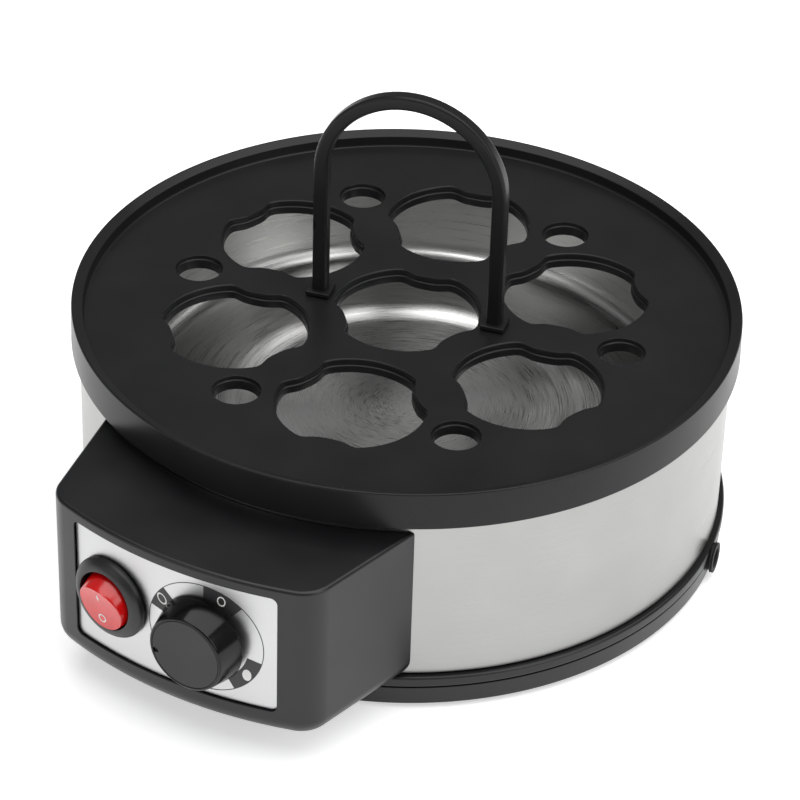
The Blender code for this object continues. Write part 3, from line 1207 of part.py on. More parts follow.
def make_knob(materials, dial_frame):
    """Shaft, tapered knob and its front disc, all turning together on the dial's axis."""
    turn_frame = make_frame("knob_turn", dial_frame)
    cap_seat = KNOB_FRONT - KNOB_CAP_THICKNESS - GAP
    shaft_end = cap_seat - GAP
    add_object("regulator_shaft", prism(d_outline(SHAFT_RADIUS, SHAFT_FLAT), -SHAFT_DEPTH, shaft_end),
               materials["aluminium"], turn_frame)

    cap_room = KNOB_CAP_RADIUS + GAP
    edge = KNOB_EDGE
    cavity_top = KNOB_STAND + KNOB_CAVITY_DEPTH
    profile = [
        (0, cavity_top), (KNOB_CAVITY_RADIUS, cavity_top), (KNOB_CAVITY_RADIUS, KNOB_STAND),
        (KNOB_BASE_RADIUS - edge, KNOB_STAND), (KNOB_BASE_RADIUS, KNOB_STAND + edge),
        (KNOB_FRONT_RADIUS + edge, KNOB_FRONT - edge), (KNOB_FRONT_RADIUS, KNOB_FRONT),
        (cap_room, KNOB_FRONT), (cap_room, cap_seat), (0, cap_seat),
    ]
    knob = add_object("knob", turned(profile, 2 * SMALL_STEPS), materials["gloss_plastic"],
                      turn_frame)
    cut(knob, prism(d_outline(SHAFT_RADIUS + GAP, SHAFT_FLAT + GAP), KNOB_STAND, KNOB_FRONT + MM))

    cap = cylinder(KNOB_CAP_RADIUS, KNOB_FRONT - KNOB_CAP_THICKNESS, KNOB_FRONT, 2 * SMALL_STEPS)
    cap_piece = add_object("knob_cap", cap, materials["black_plastic"], turn_frame)
    notch = block((POINTER_LENGTH, POINTER_WIDTH, KNOB_CAP_THICKNESS),
                  (KNOB_CAP_RADIUS - POINTER_LENGTH / 2 + MM, 0, KNOB_FRONT))
    pointer_frame = make_frame("pointer_place", turn_frame, (0, 0, 0), (0, 0, radians(POINTER_ANGLE)))
    cut(cap_piece, notch, pointer_frame)


# ---------------------------------------------------------------- wires

def inside(angle, inset, level):
    """Point of a wire's route: an angle round the body, millimetres in from its wall, a height."""
    return around(SHELL_INNER - inset * MM, angle, level).translation


def at_window(across, inset, level):
    """Point of a route through the wire window: millimetres across and in, and a height."""
    return Vector((across * MM, inset * MM - SHELL_INNER, level))


def make_wires(materials, axis):
    """Heat-proof sleeved wires between the terminals, along hand-laid routes."""
    clear = 3 * GAP                        # wire ends stand off what they join
    switch_back = -SWITCH_DEPTH - BLADE_SIZE[2] - clear
    switch_low = switch_place() @ Vector((0, -BLADE_PITCH, switch_back))
    switch_mid = switch_place() @ Vector((0, 0, switch_back))
    regulator_back = -REGULATOR_SET_BACK - REGULATOR_DEPTH - BLADE_SIZE[2] - clear
    regulator_left = dial_place() @ Vector((-BLADE_PITCH, 0, regulator_back))
    regulator_right = dial_place() @ Vector((BLADE_PITCH, 0, regulator_back))
    fuse_level = CLAMP_TOP + GAP + FUSE_RADIUS
    fuse_tip = FUSE_LENGTH / 2 + FUSE_LEAD_LENGTH + 2 * GAP
    pin_level = ELEMENT_Z - ELEMENT_TAIL - PIN_LENGTH / 2
    first, last = element_end_angles()
    beside = PIN_RADIUS + WIRE_RADIUS + GAP
    pin_right = around(ELEMENT_CIRCLE, first).translation + Vector((beside, -beside / 2, pin_level))
    pin_left = around(ELEMENT_CIRCLE, last).translation + Vector((-beside / 3, beside, pin_level))
    blade_level = (STRAP_TOP + CENTRE_UNDERSIDE - CUTOUT_CAP_HEIGHT) / 2
    blade_tip = CUTOUT_RADIUS + CUTOUT_BLADE[0] + clear
    cutout_right = Vector((blade_tip, CUTOUT_Y, blade_level))
    cutout_left = Vector((-blade_tip, CUTOUT_Y, blade_level))
    block_side = BLOCK_SIZE[1] / 2 + 2 * GAP
    block_high = STANDING_Z + BLOCK_SIZE[2] / 2
    block_frame = around(BLOCK_CIRCLE, GLAND_ANGLE)
    block_out = block_frame @ Vector((BLOCK_WIRE_X, -block_side, block_high))
    block_in = block_frame @ Vector((-BLOCK_WIRE_X, -block_side, block_high))
    on_cover = STANDING_Z + 4 * MM
    under_dish = CLAMP_TOP + 3 * MM
    routes = {
        "wire_supply": [
            block_out, inside(-17, 16, on_cover), inside(-40, 14, on_cover + 1.5 * MM),
            inside(-67, 9, on_cover + 3 * MM), at_window(12, 6, SWITCH_Z - 15 * MM),
            at_window(-6, 1, SWITCH_Z - 7 * MM), at_window(-12, -3, SWITCH_Z - 6 * MM), switch_low],
        "wire_return": [
            block_in, inside(-19.5, 24.5, on_cover), inside(-39, 22, on_cover + 0.5 * MM),
            inside(-51.5, 16, pin_level - 4.5 * MM), inside(-63, 16.5, pin_level + 2 * MM), pin_right],
        "wire_switched": [
            switch_mid, at_window(-9, -1, SWITCH_Z - MM), at_window(-2, 1, DIAL_Z - 2 * MM),
            regulator_left],
        "wire_regulated": [
            regulator_right, at_window(16, 1, DIAL_Z - 1.5 * MM), at_window(13, 11, under_dish),
            at_window(10, 25, under_dish - MM), Vector((18 * MM, -40 * MM, under_dish)),
            Vector((FUSE_X, -fuse_tip, fuse_level))],
        "wire_fuse": [
            Vector((FUSE_X, fuse_tip, fuse_level)),
            Vector((FUSE_X - MM, CUTOUT_Y - 3 * MM, under_dish)),
            Vector((blade_tip + 5 * MM, CUTOUT_Y, under_dish)), cutout_right],
        "wire_element": [
            cutout_left, Vector((-21 * MM, CUTOUT_Y - 2 * MM, under_dish)),
            Vector((-29 * MM, 5 * MM, under_dish)), Vector((-29 * MM, -25 * MM, under_dish - MM)),
            inside(-120, 36.5, pin_level + 3 * MM), pin_left],
    }
    for name, route in routes.items():
        smooth_rod(name, route, WIRE_RADIUS, 8, materials["wire_sleeve"], axis)


def build():
    clear_scene()
    materials = make_materials()
    axis = make_frame("cooker_axis", None, (0, AXIS_Y, FOOT_PROUD))
    make_body_shell(materials, axis)
    make_steel_jacket(materials, axis)
    make_bottom_cover(materials, axis)
    make_feet(materials, axis)
    make_screws(materials, axis)
    make_cord_gland(materials, axis)
    make_terminal_block(materials, axis)
    make_buzzer(materials, axis)
    make_dish_gasket(materials, axis)
    make_heating_dish(materials, axis)
    make_dish_clips(materials, axis)
    make_heat_spreader(materials, axis)
    make_heating_element(materials, axis)
    make_stud_and_nuts(materials, axis)
    make_clamps(materials, axis)
    make_limit_thermostat(materials, axis)
    make_thermal_fuse(materials, axis)
    make_heat_shield(materials, axis)
    tray_frame = make_frame("tray_lift", axis)
    make_egg_tray(materials, tray_frame)
    make_tray_handle(materials, tray_frame)
    make_control_box(materials, axis)
    make_faceplate(materials, axis)
    make_switch(materials, axis)
    dial_frame = make_regulator(materials, axis)
    make_knob(materials, dial_frame)
    make_wires(materials, axis)


build()
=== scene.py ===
# %% [markdown]
# # A seven-egg cooker, from solids to a finished model
# The cooker is already built as solids: every plate, screw and wire has its size and its place.
# This lesson keeps that frame fixed and gives the parts that show their fine shapes and their
# finishes: moulded plastic, brushed steel, anodised aluminium, rubber and printed ink.

# %% Load the fixed frame
from math import asin, atan2, cos, pi, radians, sin, sqrt

import bmesh
import bpy
from mathutils import Matrix, Vector


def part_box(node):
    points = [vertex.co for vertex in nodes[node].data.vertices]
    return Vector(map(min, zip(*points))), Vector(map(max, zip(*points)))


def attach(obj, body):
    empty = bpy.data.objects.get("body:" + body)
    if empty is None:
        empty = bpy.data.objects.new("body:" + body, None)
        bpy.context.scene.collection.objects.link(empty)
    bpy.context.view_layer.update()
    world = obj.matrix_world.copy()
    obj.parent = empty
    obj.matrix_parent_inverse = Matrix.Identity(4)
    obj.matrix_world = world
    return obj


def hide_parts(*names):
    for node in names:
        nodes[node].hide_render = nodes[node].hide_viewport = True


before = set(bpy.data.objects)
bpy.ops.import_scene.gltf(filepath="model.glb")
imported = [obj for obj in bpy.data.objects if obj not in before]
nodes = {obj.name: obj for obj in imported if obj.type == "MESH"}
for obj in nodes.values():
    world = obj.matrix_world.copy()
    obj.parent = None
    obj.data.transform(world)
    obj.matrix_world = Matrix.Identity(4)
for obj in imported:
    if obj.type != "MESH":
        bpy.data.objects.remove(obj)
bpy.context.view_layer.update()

MM = 0.001

# %% [markdown]
# ## Where things are
# The round body stands on an upright centre line. Its place, and the level of the base ring, come
# from the solids. All sizes below are millimetres from that line and above that ring, and each
# finished piece is moved to its place once, when its shape is done.

# %% Centre line and levels
jacket_low, jacket_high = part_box("steel_jacket")
ring_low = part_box("body_shell")[0]
TO_PLACE = Matrix.Translation(((jacket_low.x + jacket_high.x) / 2,
                               (jacket_low.y + jacket_high.y) / 2, ring_low.z))


def level(node, end):
    """Height of a solid's bottom (end 0) or top (end 1) above the base ring, in millimetres."""
    return (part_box(node)[end].z - ring_low.z) / MM


JACKET_RADIUS = (jacket_high.x - jacket_low.x) / 2 / MM
SKIRT_RADIUS = (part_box("egg_tray")[1].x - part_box("egg_tray")[0].x) / 2 / MM
JACKET_LOW, JACKET_TOP = level("steel_jacket", 0), level("steel_jacket", 1)
RIM_TOP, SKIRT_LOW = level("egg_tray", 1), level("egg_tray", 0)
DECK_TOP = RIM_TOP - 4.0
DECK_LOW = DECK_TOP - 2.1
FLANGE_TOP = level("heating_dish", 1)
BOX_LOW, BOX_TOP = level("control_box", 0), level("control_box", 1)
PLATE_LOW, PLATE_TOP = level("faceplate", 0), level("faceplate", 1)
PATTERN_ANGLE = 12.7            # the line the handle stands on, in degrees round the tray
print("jacket radius", round(JACKET_RADIUS, 2), "deck", round(DECK_TOP, 2),
      "rim", round(RIM_TOP, 2))

# %% [markdown]
# ## The camera
# A long lens from the right and above looks down on the panel, so that upright edges stay nearly
# parallel. The camera is rolled by under two degrees and aimed by turning it, without a shift.

# %% Camera
VIEW_AZIMUTH, VIEW_ELEVATION, VIEW_LEAN = 29.607, 34.655, 1.799
VIEW_PLACE = Vector((374.05, -643.54, 560.01)) * MM
LENS_MM = 151.4

bpy.ops.object.camera_add(location=VIEW_PLACE)
camera = bpy.context.object
camera.name = "camera"
camera.rotation_euler = (Matrix.Rotation(radians(VIEW_AZIMUTH), 3, "Z")
                         @ Matrix.Rotation(radians(90 - VIEW_ELEVATION), 3, "X")
                         @ Matrix.Rotation(radians(VIEW_LEAN), 3, "Z")).to_euler()
camera.data.lens = LENS_MM
camera.data.sensor_width = 36
camera.data.clip_end = 20
bpy.context.scene.camera = camera
print("camera", [round(value, 3) for value in camera.location], "lens", LENS_MM)

# %% [markdown]
# ## Hands for modelling
# A turned part, such as a rim or a knob, could be spun from a profile. Here it is made the way a
# beginner sees best: a circle is added, and its edge is extruded from step to step, each time
# moved to a new height and resized to a new radius, as a potter raises a wall.

# %% Ring tools
RING_POINTS = 240


def put_down():
    """Leave edit mode and select nothing, because an operator acts on all that is selected."""
    if bpy.context.object and bpy.context.object.mode == "EDIT":
        bpy.ops.object.mode_set(mode="OBJECT")
    bpy.ops.object.select_all(action="DESELECT")


def hold(piece):
    """Make one piece the only one selected, and the active one."""
    put_down()
    piece.select_set(True)
    bpy.context.view_layer.objects.active = piece


def edit(piece):
    """Open one piece in edit mode."""
    hold(piece)
    bpy.ops.object.mode_set(mode="EDIT")


def start_ring(name, radius, height, points=RING_POINTS, filled=False):
    """Add a circle of that radius at that height and open it for editing, all selected."""
    put_down()
    bpy.ops.mesh.primitive_circle_add(vertices=points, radius=radius * MM,
                                      location=(0, 0, height * MM),
                                      fill_type="NGON" if filled else "NOTHING")
    piece = bpy.context.object
    piece.name = piece.data.name = name
    bpy.ops.object.transform_apply(location=True, rotation=True, scale=True)
    edit(piece)
    bpy.ops.mesh.select_mode(type="VERT")
    bpy.ops.mesh.select_all(action="SELECT")
    return piece


def walk(start, steps):
    """Extrude the selected ring through (radius, height) steps; radius 0 closes it in a point."""
    radius, height = start
    for next_radius, next_height in steps:
        bpy.ops.mesh.extrude_region_move(
            TRANSFORM_OT_translate={"value": (0, 0, (next_height - height) * MM)})
        if next_radius == 0:
            bpy.ops.mesh.merge(type="CENTER")
            return
        grow = next_radius / radius
        bpy.ops.transform.resize(value=(grow, grow, 1), center_override=(0, 0, next_height * MM))
        radius, height = next_radius, next_height


def weld():
    """Join points that meet, and turn every face outwards."""
    bpy.ops.mesh.select_all(action="SELECT")
    bpy.ops.mesh.remove_doubles(threshold=0.002 * MM)
    bpy.ops.mesh.normals_make_consistent(inside=False)


def pick(piece, kind, test):
    """Select the points, edges or faces that pass a test, in edit mode."""
    bpy.ops.mesh.select_mode(type=kind)
    bpy.ops.mesh.select_all(action="DESELECT")
    shape = bmesh.from_edit_mesh(piece.data)
    for item in {"VERT": shape.verts, "EDGE": shape.edges, "FACE": shape.faces}[kind]:
        if test(item):
            item.select_set(True)
    shape.select_flush_mode()
    bmesh.update_edit_mesh(piece.data)


def turned_ring(name, profile, points=RING_POINTS):
    """Ring-shaped piece whose profile comes back to where it starts."""
    piece = start_ring(name, *profile[0], points)
    walk(profile[0], profile[1:] + profile[:1])
    weld()
    put_down()
    return piece


def turned_solid(name, profile, points=RING_POINTS):
    """Piece that starts and ends in a flat round face."""
    piece = start_ring(name, *profile[0], points, filled=True)
    walk(profile[0], profile[1:])
    weld()
    put_down()
    return piece


def rounded(corner, radius, first, last, count=5):
    """Points of a quarter round: its centre, radius, and first and last angle in degrees."""
    turns = [radians(first + (last - first) * step / count) for step in range(count + 1)]
    return [(corner[0] + radius * cos(turn), corner[1] + radius * sin(turn)) for turn in turns]


# %% Tools that join, cut and finish
def apply_modifier(piece, kind, **settings):
    """Add a modifier, set it, and apply it at once."""
    hold(piece)
    step = piece.modifiers.new(kind.lower(), kind)
    for name, value in settings.items():
        setattr(step, name, value)
    bpy.ops.object.modifier_apply(modifier=step.name)


def cut(piece, tool, operation="DIFFERENCE"):
    """Cut a tool's shape from a piece, or keep only what both share; the tool is then gone."""
    apply_modifier(piece, "BOOLEAN", operation=operation, solver="EXACT", object=tool)
    bpy.data.objects.remove(tool)


def settle(piece, place):
    """Move a shape into place inside its mesh, so that its object stays at the origin."""
    hold(piece)
    piece.matrix_world = place @ piece.matrix_world
    bpy.ops.object.transform_apply(location=True, rotation=True, scale=True)


def joined(pieces):
    """Make several pieces one mesh, which keeps the first one's name."""
    put_down()
    for piece in pieces:
        piece.select_set(True)
    bpy.context.view_layer.objects.active = pieces[0]
    bpy.ops.object.join()
    return pieces[0]


def copied(piece, name, place):
    """A copy with its own mesh, set down in another place."""
    twin = bpy.data.objects.new(name, piece.data.copy())
    bpy.context.scene.collection.objects.link(twin)
    settle(twin, place)
    return twin


def bar(name, size, centre):
    """Block from a cube, with its size and middle in millimetres."""
    put_down()
    bpy.ops.mesh.primitive_cube_add(size=1, location=Vector(centre) * MM, scale=Vector(size) * MM)
    piece = bpy.context.object
    piece.name = piece.data.name = name
    bpy.ops.object.transform_apply(location=True, rotation=True, scale=True)
    return piece


def finish_piece(piece, material, body, stands_for, crease=35):
    """Shade a finished shape, give it its finish and its place, and let it ride on its body."""
    settle(piece, TO_PLACE)
    bpy.ops.object.shade_smooth_by_angle(angle=radians(crease))
    apply_modifier(piece, "WEIGHTED_NORMAL", keep_sharp=True, weight=80)
    piece.data.materials.clear()
    piece.data.materials.append(material)
    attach(piece, body)
    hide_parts(*stands_for)
    print(piece.name, len(piece.data.polygons), "faces on", body)


# %% [markdown]
# ## Finishes
# Each finish starts from a shader whose plain values are typical for the real material. Nodes then
# add what the making left behind, at its real size: grain of a spark-eroded mould, hairlines of a
# brushing belt, weave of a sleeve. Object coordinates are metres here, so a noise of scale 1000
# has features about a millimetre apart.

# %% Colour and node tools
def linear(code):
    """sRGB hex value to the linear colour that shaders work in."""
    parts = [int(code[place:place + 2], 16) / 255 for place in (1, 3, 5)]
    return (*[part / 12.92 if part <= 0.04045 else ((part + 0.055) / 1.055) ** 2.4
              for part in parts], 1)


def add(tree, kind, wired, **settings):
    """Add a node, set its options, and fill its sockets with values or links."""
    node = tree.nodes.new("ShaderNode" + kind)
    for name, value in settings.items():
        setattr(node, name, value)
    for socket, value in wired.items():
        if isinstance(value, bpy.types.NodeSocket):
            tree.links.new(value, node.inputs[socket])
        else:
            node.inputs[socket].default_value = value
    return node


def new_finish(name, colour, roughness, **sockets):
    """A material with its plain values set; gives back the material, its nodes and its shader."""
    material = bpy.data.materials.new(name)
    material.use_nodes = True
    tree = material.node_tree
    shader = tree.nodes["Principled BSDF"]
    shader.inputs["Base Color"].default_value = linear(colour)
    shader.inputs["Roughness"].default_value = roughness
    for socket, value in sockets.items():
        shader.inputs[socket.replace("_", " ").title().replace("Ior", "IOR")].default_value = value
    material.diffuse_color = linear(colour)
    return material, tree, shader


def speckle(tree, place, size_mm, detail=2.0, stretch=(1, 1, 1)):
    """Noise whose features are about size_mm across, read along stretched coordinates."""
    spot = add(tree, "Mapping", {"Vector": place, "Scale": Vector(stretch) / (size_mm * MM)})
    return add(tree, "TexNoise", {"Vector": spot.outputs["Vector"], "Scale": 1.0, "Detail": detail,
                                  "Roughness": 0.55}).outputs["Fac"]


def between(tree, driver, low, high):
    """Number that goes from low to high as the driver goes through the middle of its range."""
    return add(tree, "MapRange", {"Value": driver, "From Min": 0.3, "From Max": 0.7, "To Min": low,
                                  "To Max": high}).outputs["Result"]


def tinted(tree, driver, first, second):
    """Colour that drifts between two near shades."""
    mix = add(tree, "Mix", {"Factor": driver}, data_type="RGBA")
    mix.inputs[6].default_value = linear(first)
    mix.inputs[7].default_value = linear(second)
    return mix.outputs[2]


def raised(tree, shader, height, depth_mm, strength=1.0):
    """Let a pattern stand out of the surface by that depth."""
    bump = add(tree, "Bump", {"Height": height, "Distance": depth_mm * MM, "Strength": strength})
    tree.links.new(bump.outputs["Normal"], shader.inputs["Normal"])


def object_place(tree):
    """Coordinates fixed to the piece, in metres."""
    return add(tree, "TexCoord", {}).outputs["Object"]


# %% [markdown]
# ### Moulded plastics
# Black polypropylene and ABS come from steel moulds. A spark-eroded mould leaves a fine even grain
# and a satin shine; a polished mould leaves a mirror that only ripples slowly where the wall
# shrank. Both also carry a faint cloudiness in shine from handling.

# %% Moulded plastic finishes
def moulded(name, colour, cloud, roughness, grain_mm, depth_mm, wave_mm=18.0, **sockets):
    """Plastic from a mould: fine grain, slow ripple, and shine that drifts."""
    material, tree, shader = new_finish(name, colour, roughness, ior=1.49, **sockets)
    place = object_place(tree)
    grain = speckle(tree, place, grain_mm, 3.0)
    ripple = speckle(tree, place, wave_mm, 1.0)
    tree.links.new(tinted(tree, ripple, colour, cloud), shader.inputs["Base Color"])
    tree.links.new(between(tree, ripple, roughness - 0.03, roughness + 0.05),
                   shader.inputs["Roughness"])
    wave = add(tree, "Bump", {"Height": ripple, "Distance": 0.05 * MM, "Strength": 0.6})
    bump = add(tree, "Bump", {"Height": grain, "Distance": depth_mm * MM, "Strength": 1.0,
                              "Normal": wave.outputs["Normal"]})
    tree.links.new(bump.outputs["Normal"], shader.inputs["Normal"])
    return material


# Polypropylene of the box and base: spark-eroded grain of about 0.4 mm, satin.
box_plastic = moulded("satin_black_polypropylene", "#0e0e10", "#121214", 0.34, 0.45, 0.010,
                      specular_ior_level=0.45)
# Polypropylene of the tray: the same family from a smoother mould, so its shine is broader.
tray_plastic = moulded("tray_black_polypropylene", "#1a1a1b", "#202021", 0.30, 0.5, 0.006,
                       specular_ior_level=0.22)
# ABS of the knob: polished mould, nearly a mirror.
gloss_plastic = moulded("glossy_black_abs", "#060607", "#09090a", 0.15, 0.6, 0.002,
                        specular_ior_level=0.3)
# Nylon of the switch bezel: plain mould, so it is satin rather than glossy.
satin_nylon = moulded("satin_black_nylon", "#19191a", "#1f1f20", 0.42, 0.4, 0.006)
# Grey-black ABS disc in the knob: fine matt texture.
matt_plastic = moulded("matt_black_abs", "#131315", "#18181a", 0.50, 0.3, 0.014)
nylon = moulded("natural_nylon", "#dad6c8", "#cfcab8", 0.42, 0.5, 0.010)
phenolic = moulded("brown_phenolic_resin", "#4a2c1d", "#3c2216", 0.40, 0.35, 0.015)
silicone = moulded("red_brown_silicone", "#8e4630", "#7d3a27", 0.60, 0.4, 0.015)
rubber = moulded("matt_black_rubber", "#161616", "#1e1e1e", 0.72, 0.35, 0.030)
moulded_finishes = (box_plastic, tray_plastic, gloss_plastic, satin_nylon, matt_plastic, nylon,
                    phenolic, silicone, rubber)
print("moulded finishes:", ", ".join(finish.name for finish in moulded_finishes))

# %% [markdown]
# ### Metals
# The jacket is stainless sheet brushed along its length before it is rolled, so its hairlines run
# round the body. The dish is spun and polished, which leaves finer lines in circles. A hairline is
# a few hundredths of a millimetre wide, too fine to show, so it is drawn about 0.25 mm wide. A
# line that runs round the body needs the angle round it, measured from x and y.

# %% Metal finishes
def round_place(tree):
    """Coordinates that follow the body: along its girth, outwards, and up."""
    low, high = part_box("steel_jacket")
    centred = add(tree, "Mapping", {"Vector": object_place(tree),
                                    "Location": (0, -(low.y + high.y) / 2, 0)})
    split = add(tree, "SeparateXYZ", {"Vector": centred.outputs["Vector"]})
    turn = add(tree, "Math", {0: split.outputs["Y"], 1: split.outputs["X"]}, operation="ARCTAN2")
    girth = add(tree, "Math", {0: turn.outputs[0], 1: JACKET_RADIUS * MM},
                operation="MULTIPLY")
    square = add(tree, "VectorMath", {0: centred.outputs["Vector"], 1: (1, 1, 0)},
                 operation="MULTIPLY")
    reach = add(tree, "VectorMath", {0: square.outputs[0]}, operation="LENGTH")
    return add(tree, "CombineXYZ", {"X": girth.outputs[0], "Y": reach.outputs["Value"],
                                    "Z": split.outputs["Z"]}).outputs["Vector"]


def brushed(name, colour, shade, roughness, line_mm, place_of, stretch, depth_mm=0.004):
    """Metal with hairlines: long noise along one direction, fine across it."""
    material, tree, shader = new_finish(name, colour, roughness, metallic=1.0)
    place = place_of(tree)
    hairs = speckle(tree, place, line_mm, 3.0, stretch)
    smears = speckle(tree, object_place(tree), 22.0, 1.5)
    both = add(tree, "Math", {0: hairs, 1: smears}, operation="MULTIPLY")
    tree.links.new(tinted(tree, add(tree, "Math", {0: both.outputs[0], 1: 1.6},
                                    operation="MULTIPLY").outputs[0], shade, colour),
                   shader.inputs["Base Color"])
    tree.links.new(between(tree, hairs, roughness - 0.06, roughness + 0.08),
                   shader.inputs["Roughness"])
    raised(tree, shader, hairs, depth_mm)
    return material


jacket_steel = brushed("brushed_stainless_steel", "#acacaa", "#9c9c9a", 0.32, 0.25,
                       round_place, (0.012, 1, 1))
dish_steel = brushed("spun_stainless_steel", "#f2f2f0", "#dededc", 0.30, 0.30,
                     round_place, (0.012, 1, 0.6), 0.003)
plate_aluminium = brushed("satin_anodised_aluminium", "#c9c9c9", "#bcbcbd", 0.34, 0.18,
                          object_place, (0.02, 0.02, 1), 0.002)
bare_aluminium = brushed("rolled_aluminium", "#c9cacb", "#b6b7b8", 0.34, 0.3, object_place,
                         (1, 0.04, 1))
zinc = brushed("zinc_plated_steel", "#b9bab6", "#9a9a92", 0.36, 1.2, object_place, (1, 1, 1),
               0.006)
brass = brushed("stamped_brass", "#c7a24c", "#ad8a3c", 0.30, 0.5, object_place, (1, 0.2, 1))
metal_finishes = (jacket_steel, dish_steel, plate_aluminium, bare_aluminium, zinc, brass)
print("metal finishes:", ", ".join(finish.name for finish in metal_finishes))

# %% [markdown]
# ### Lens, glass, sleeving and inks
# The rocker is translucent red polycarbonate: its colour sits deep, under a clear glossy skin. The
# wires wear braided glass-fibre sleeves about 0.6 mm to the braid. Dial and switch marks are thin
# pad-printed ink films.

# %% Other finishes
lens, lens_tree, lens_shader = new_finish("red_polycarbonate", "#c00a0c", 0.22, ior=1.585,
                                          coat_weight=0.15, coat_roughness=0.1,
                                          subsurface_weight=0.15)
lens_shader.inputs["Subsurface Radius"].default_value = (0.004, 0.0004, 0.0003)
lens_depth = speckle(lens_tree, object_place(lens_tree), 3.0, 1.0)
lens_tree.links.new(tinted(lens_tree, lens_depth, "#c00406", "#d80c0e"),
                    lens_shader.inputs["Base Color"])
raised(lens_tree, lens_shader, lens_depth, 0.02, 0.5)

neon, neon_tree, neon_shader = new_finish("clear_neon_glass", "#f3d9cc", 0.04, ior=1.5,
                                          transmission_weight=0.9)
raised(neon_tree, neon_shader, speckle(neon_tree, object_place(neon_tree), 1.5, 1.0), 0.02)

sleeve, sleeve_tree, sleeve_shader = new_finish("braided_glass_fibre", "#cfcabd", 0.75)
BRAID = 0.6 * MM
weave = add(sleeve_tree, "TexVoronoi", {"Vector": object_place(sleeve_tree), "Scale": 1 / BRAID})
sleeve_tree.links.new(tinted(sleeve_tree, weave.outputs["Distance"], "#d8d3c6", "#a9a498"),
                      sleeve_shader.inputs["Base Color"])
raised(sleeve_tree, sleeve_shader, weave.outputs["Distance"], 0.08)


def ink(name, colour, cloud):
    """Pad-printed film: even, slightly matt, with a faint pull of the pad."""
    material, tree, shader = new_finish(name, colour, 0.42)
    pull = speckle(tree, object_place(tree), 0.6, 2.0)
    tree.links.new(tinted(tree, pull, colour, cloud), shader.inputs["Base Color"])
    raised(tree, shader, pull, 0.004)
    return material


black_ink = ink("black_pad_print", "#1b1b1d", "#262628")
white_ink = ink("white_pad_print", "#e6e6e4", "#d6d6d3")
print("finishes in all:", len(bpy.data.materials))

# %% [markdown]
# ## The tray
# The tray is one polypropylene moulding: a flat deck, a raised rim, a skirt that drops over the
# jacket, and a short collar under every egg hole. On the real part the mould forms each hole with
# three soft tabs that hold the egg. A boolean could punch the holes, but its edges would be sharp.
# So one hole is raised from a circle with rounded edges, copied seven times, and the flat deck is
# filled between the loops.

# %% One egg hole with its tabs and collar
EGG_RADIUS, EGG_CIRCLE, STEAM_RADIUS, STEAM_CIRCLE = 20.0, 46.9, 6.4, 59.7
TAB_REACH, TAB_HALF_WIDTH = 3.1, 6.3
LIP_SPREAD = 1.03               # smoothing draws the ring in, and this lets it out to the lip
COLLAR_END = DECK_TOP - 4.0


def on_circle(radius, angle, turn=0):
    """Place on the tray at an angle, with the piece turned by its own angle."""
    centre = Vector((cos(radians(angle)), sin(radians(angle)), 0)) * radius * MM
    return Matrix.Translation(centre) @ Matrix.Rotation(radians(turn), 4, "Z")


egg_tube = start_ring("egg_tube", EGG_RADIUS, DECK_TOP, 120)
for tab in range(3):
    aim = Vector((cos(2 * pi * tab / 3), sin(2 * pi * tab / 3), 0))
    spot = aim * EGG_RADIUS * MM
    pick(egg_tube, "VERT", lambda vert: (vert.co.xy - spot.xy).length < 0.2 * MM)
    bpy.ops.transform.translate(value=-aim * TAB_REACH * MM, use_proportional_edit=True,
                                proportional_edit_falloff="SPHERE",
                                proportional_size=TAB_HALF_WIDTH * MM)
bpy.ops.mesh.select_all(action="SELECT")
bpy.ops.mesh.vertices_smooth(factor=0.5, repeat=3)
bpy.ops.transform.resize(value=(LIP_SPREAD, LIP_SPREAD, 1), center_override=(0, 0, DECK_TOP * MM))
walk((20.6, DECK_TOP), [(20.28, DECK_TOP - 0.06), (20.08, DECK_TOP - 0.25), (20.0, DECK_TOP - 0.6),
                        (20.0, DECK_TOP - 1.5), (19.9, DECK_TOP - 1.68), (19.65, DECK_TOP - 1.75),
                        (19.5, DECK_TOP - 1.85), (19.42, DECK_TOP - 2.1), (19.4, COLLAR_END + 0.4),
                        (19.52, COLLAR_END + 0.1), (19.8, COLLAR_END), (21.2, COLLAR_END),
                        (21.5, COLLAR_END + 0.15), (21.6, COLLAR_END + 0.5), (21.6, DECK_LOW)])
put_down()
print("egg hole", len(egg_tube.data.vertices), "points, across",
      round(egg_tube.dimensions.x / MM, 1), "mm")

# %% Copy the egg holes and make the small steam holes
tubes = [copied(egg_tube, "egg_tube_centre", on_circle(0, 0, PATTERN_ANGLE + 90))]
for place in range(6):
    angle = PATTERN_ANGLE + 30 + 60 * place
    tubes.append(copied(egg_tube, "egg_tube_%d" % place, on_circle(EGG_CIRCLE, angle, angle)))
bpy.data.objects.remove(egg_tube)

steam_tube = start_ring("steam_tube", STEAM_RADIUS + 0.3, DECK_TOP, 48)
walk((STEAM_RADIUS + 0.3, DECK_TOP),
     [(STEAM_RADIUS + 0.1, DECK_TOP - 0.06), (STEAM_RADIUS, DECK_TOP - 0.25),
      (STEAM_RADIUS - 0.05, DECK_TOP - 1.1), (STEAM_RADIUS - 0.3, DECK_TOP - 1.25),
      (STEAM_RADIUS - 0.45, DECK_TOP - 1.5), (STEAM_RADIUS - 0.5, COLLAR_END + 0.3),
      (STEAM_RADIUS - 0.3, COLLAR_END), (STEAM_RADIUS + 0.6, COLLAR_END),
      (STEAM_RADIUS + 0.8, COLLAR_END + 0.3), (STEAM_RADIUS + 0.8, DECK_LOW)])
put_down()
for place in range(6):
    tubes.append(copied(steam_tube, "steam_tube_%d" % place,
                        on_circle(STEAM_CIRCLE, PATTERN_ANGLE + 60 * place)))
bpy.data.objects.remove(steam_tube)
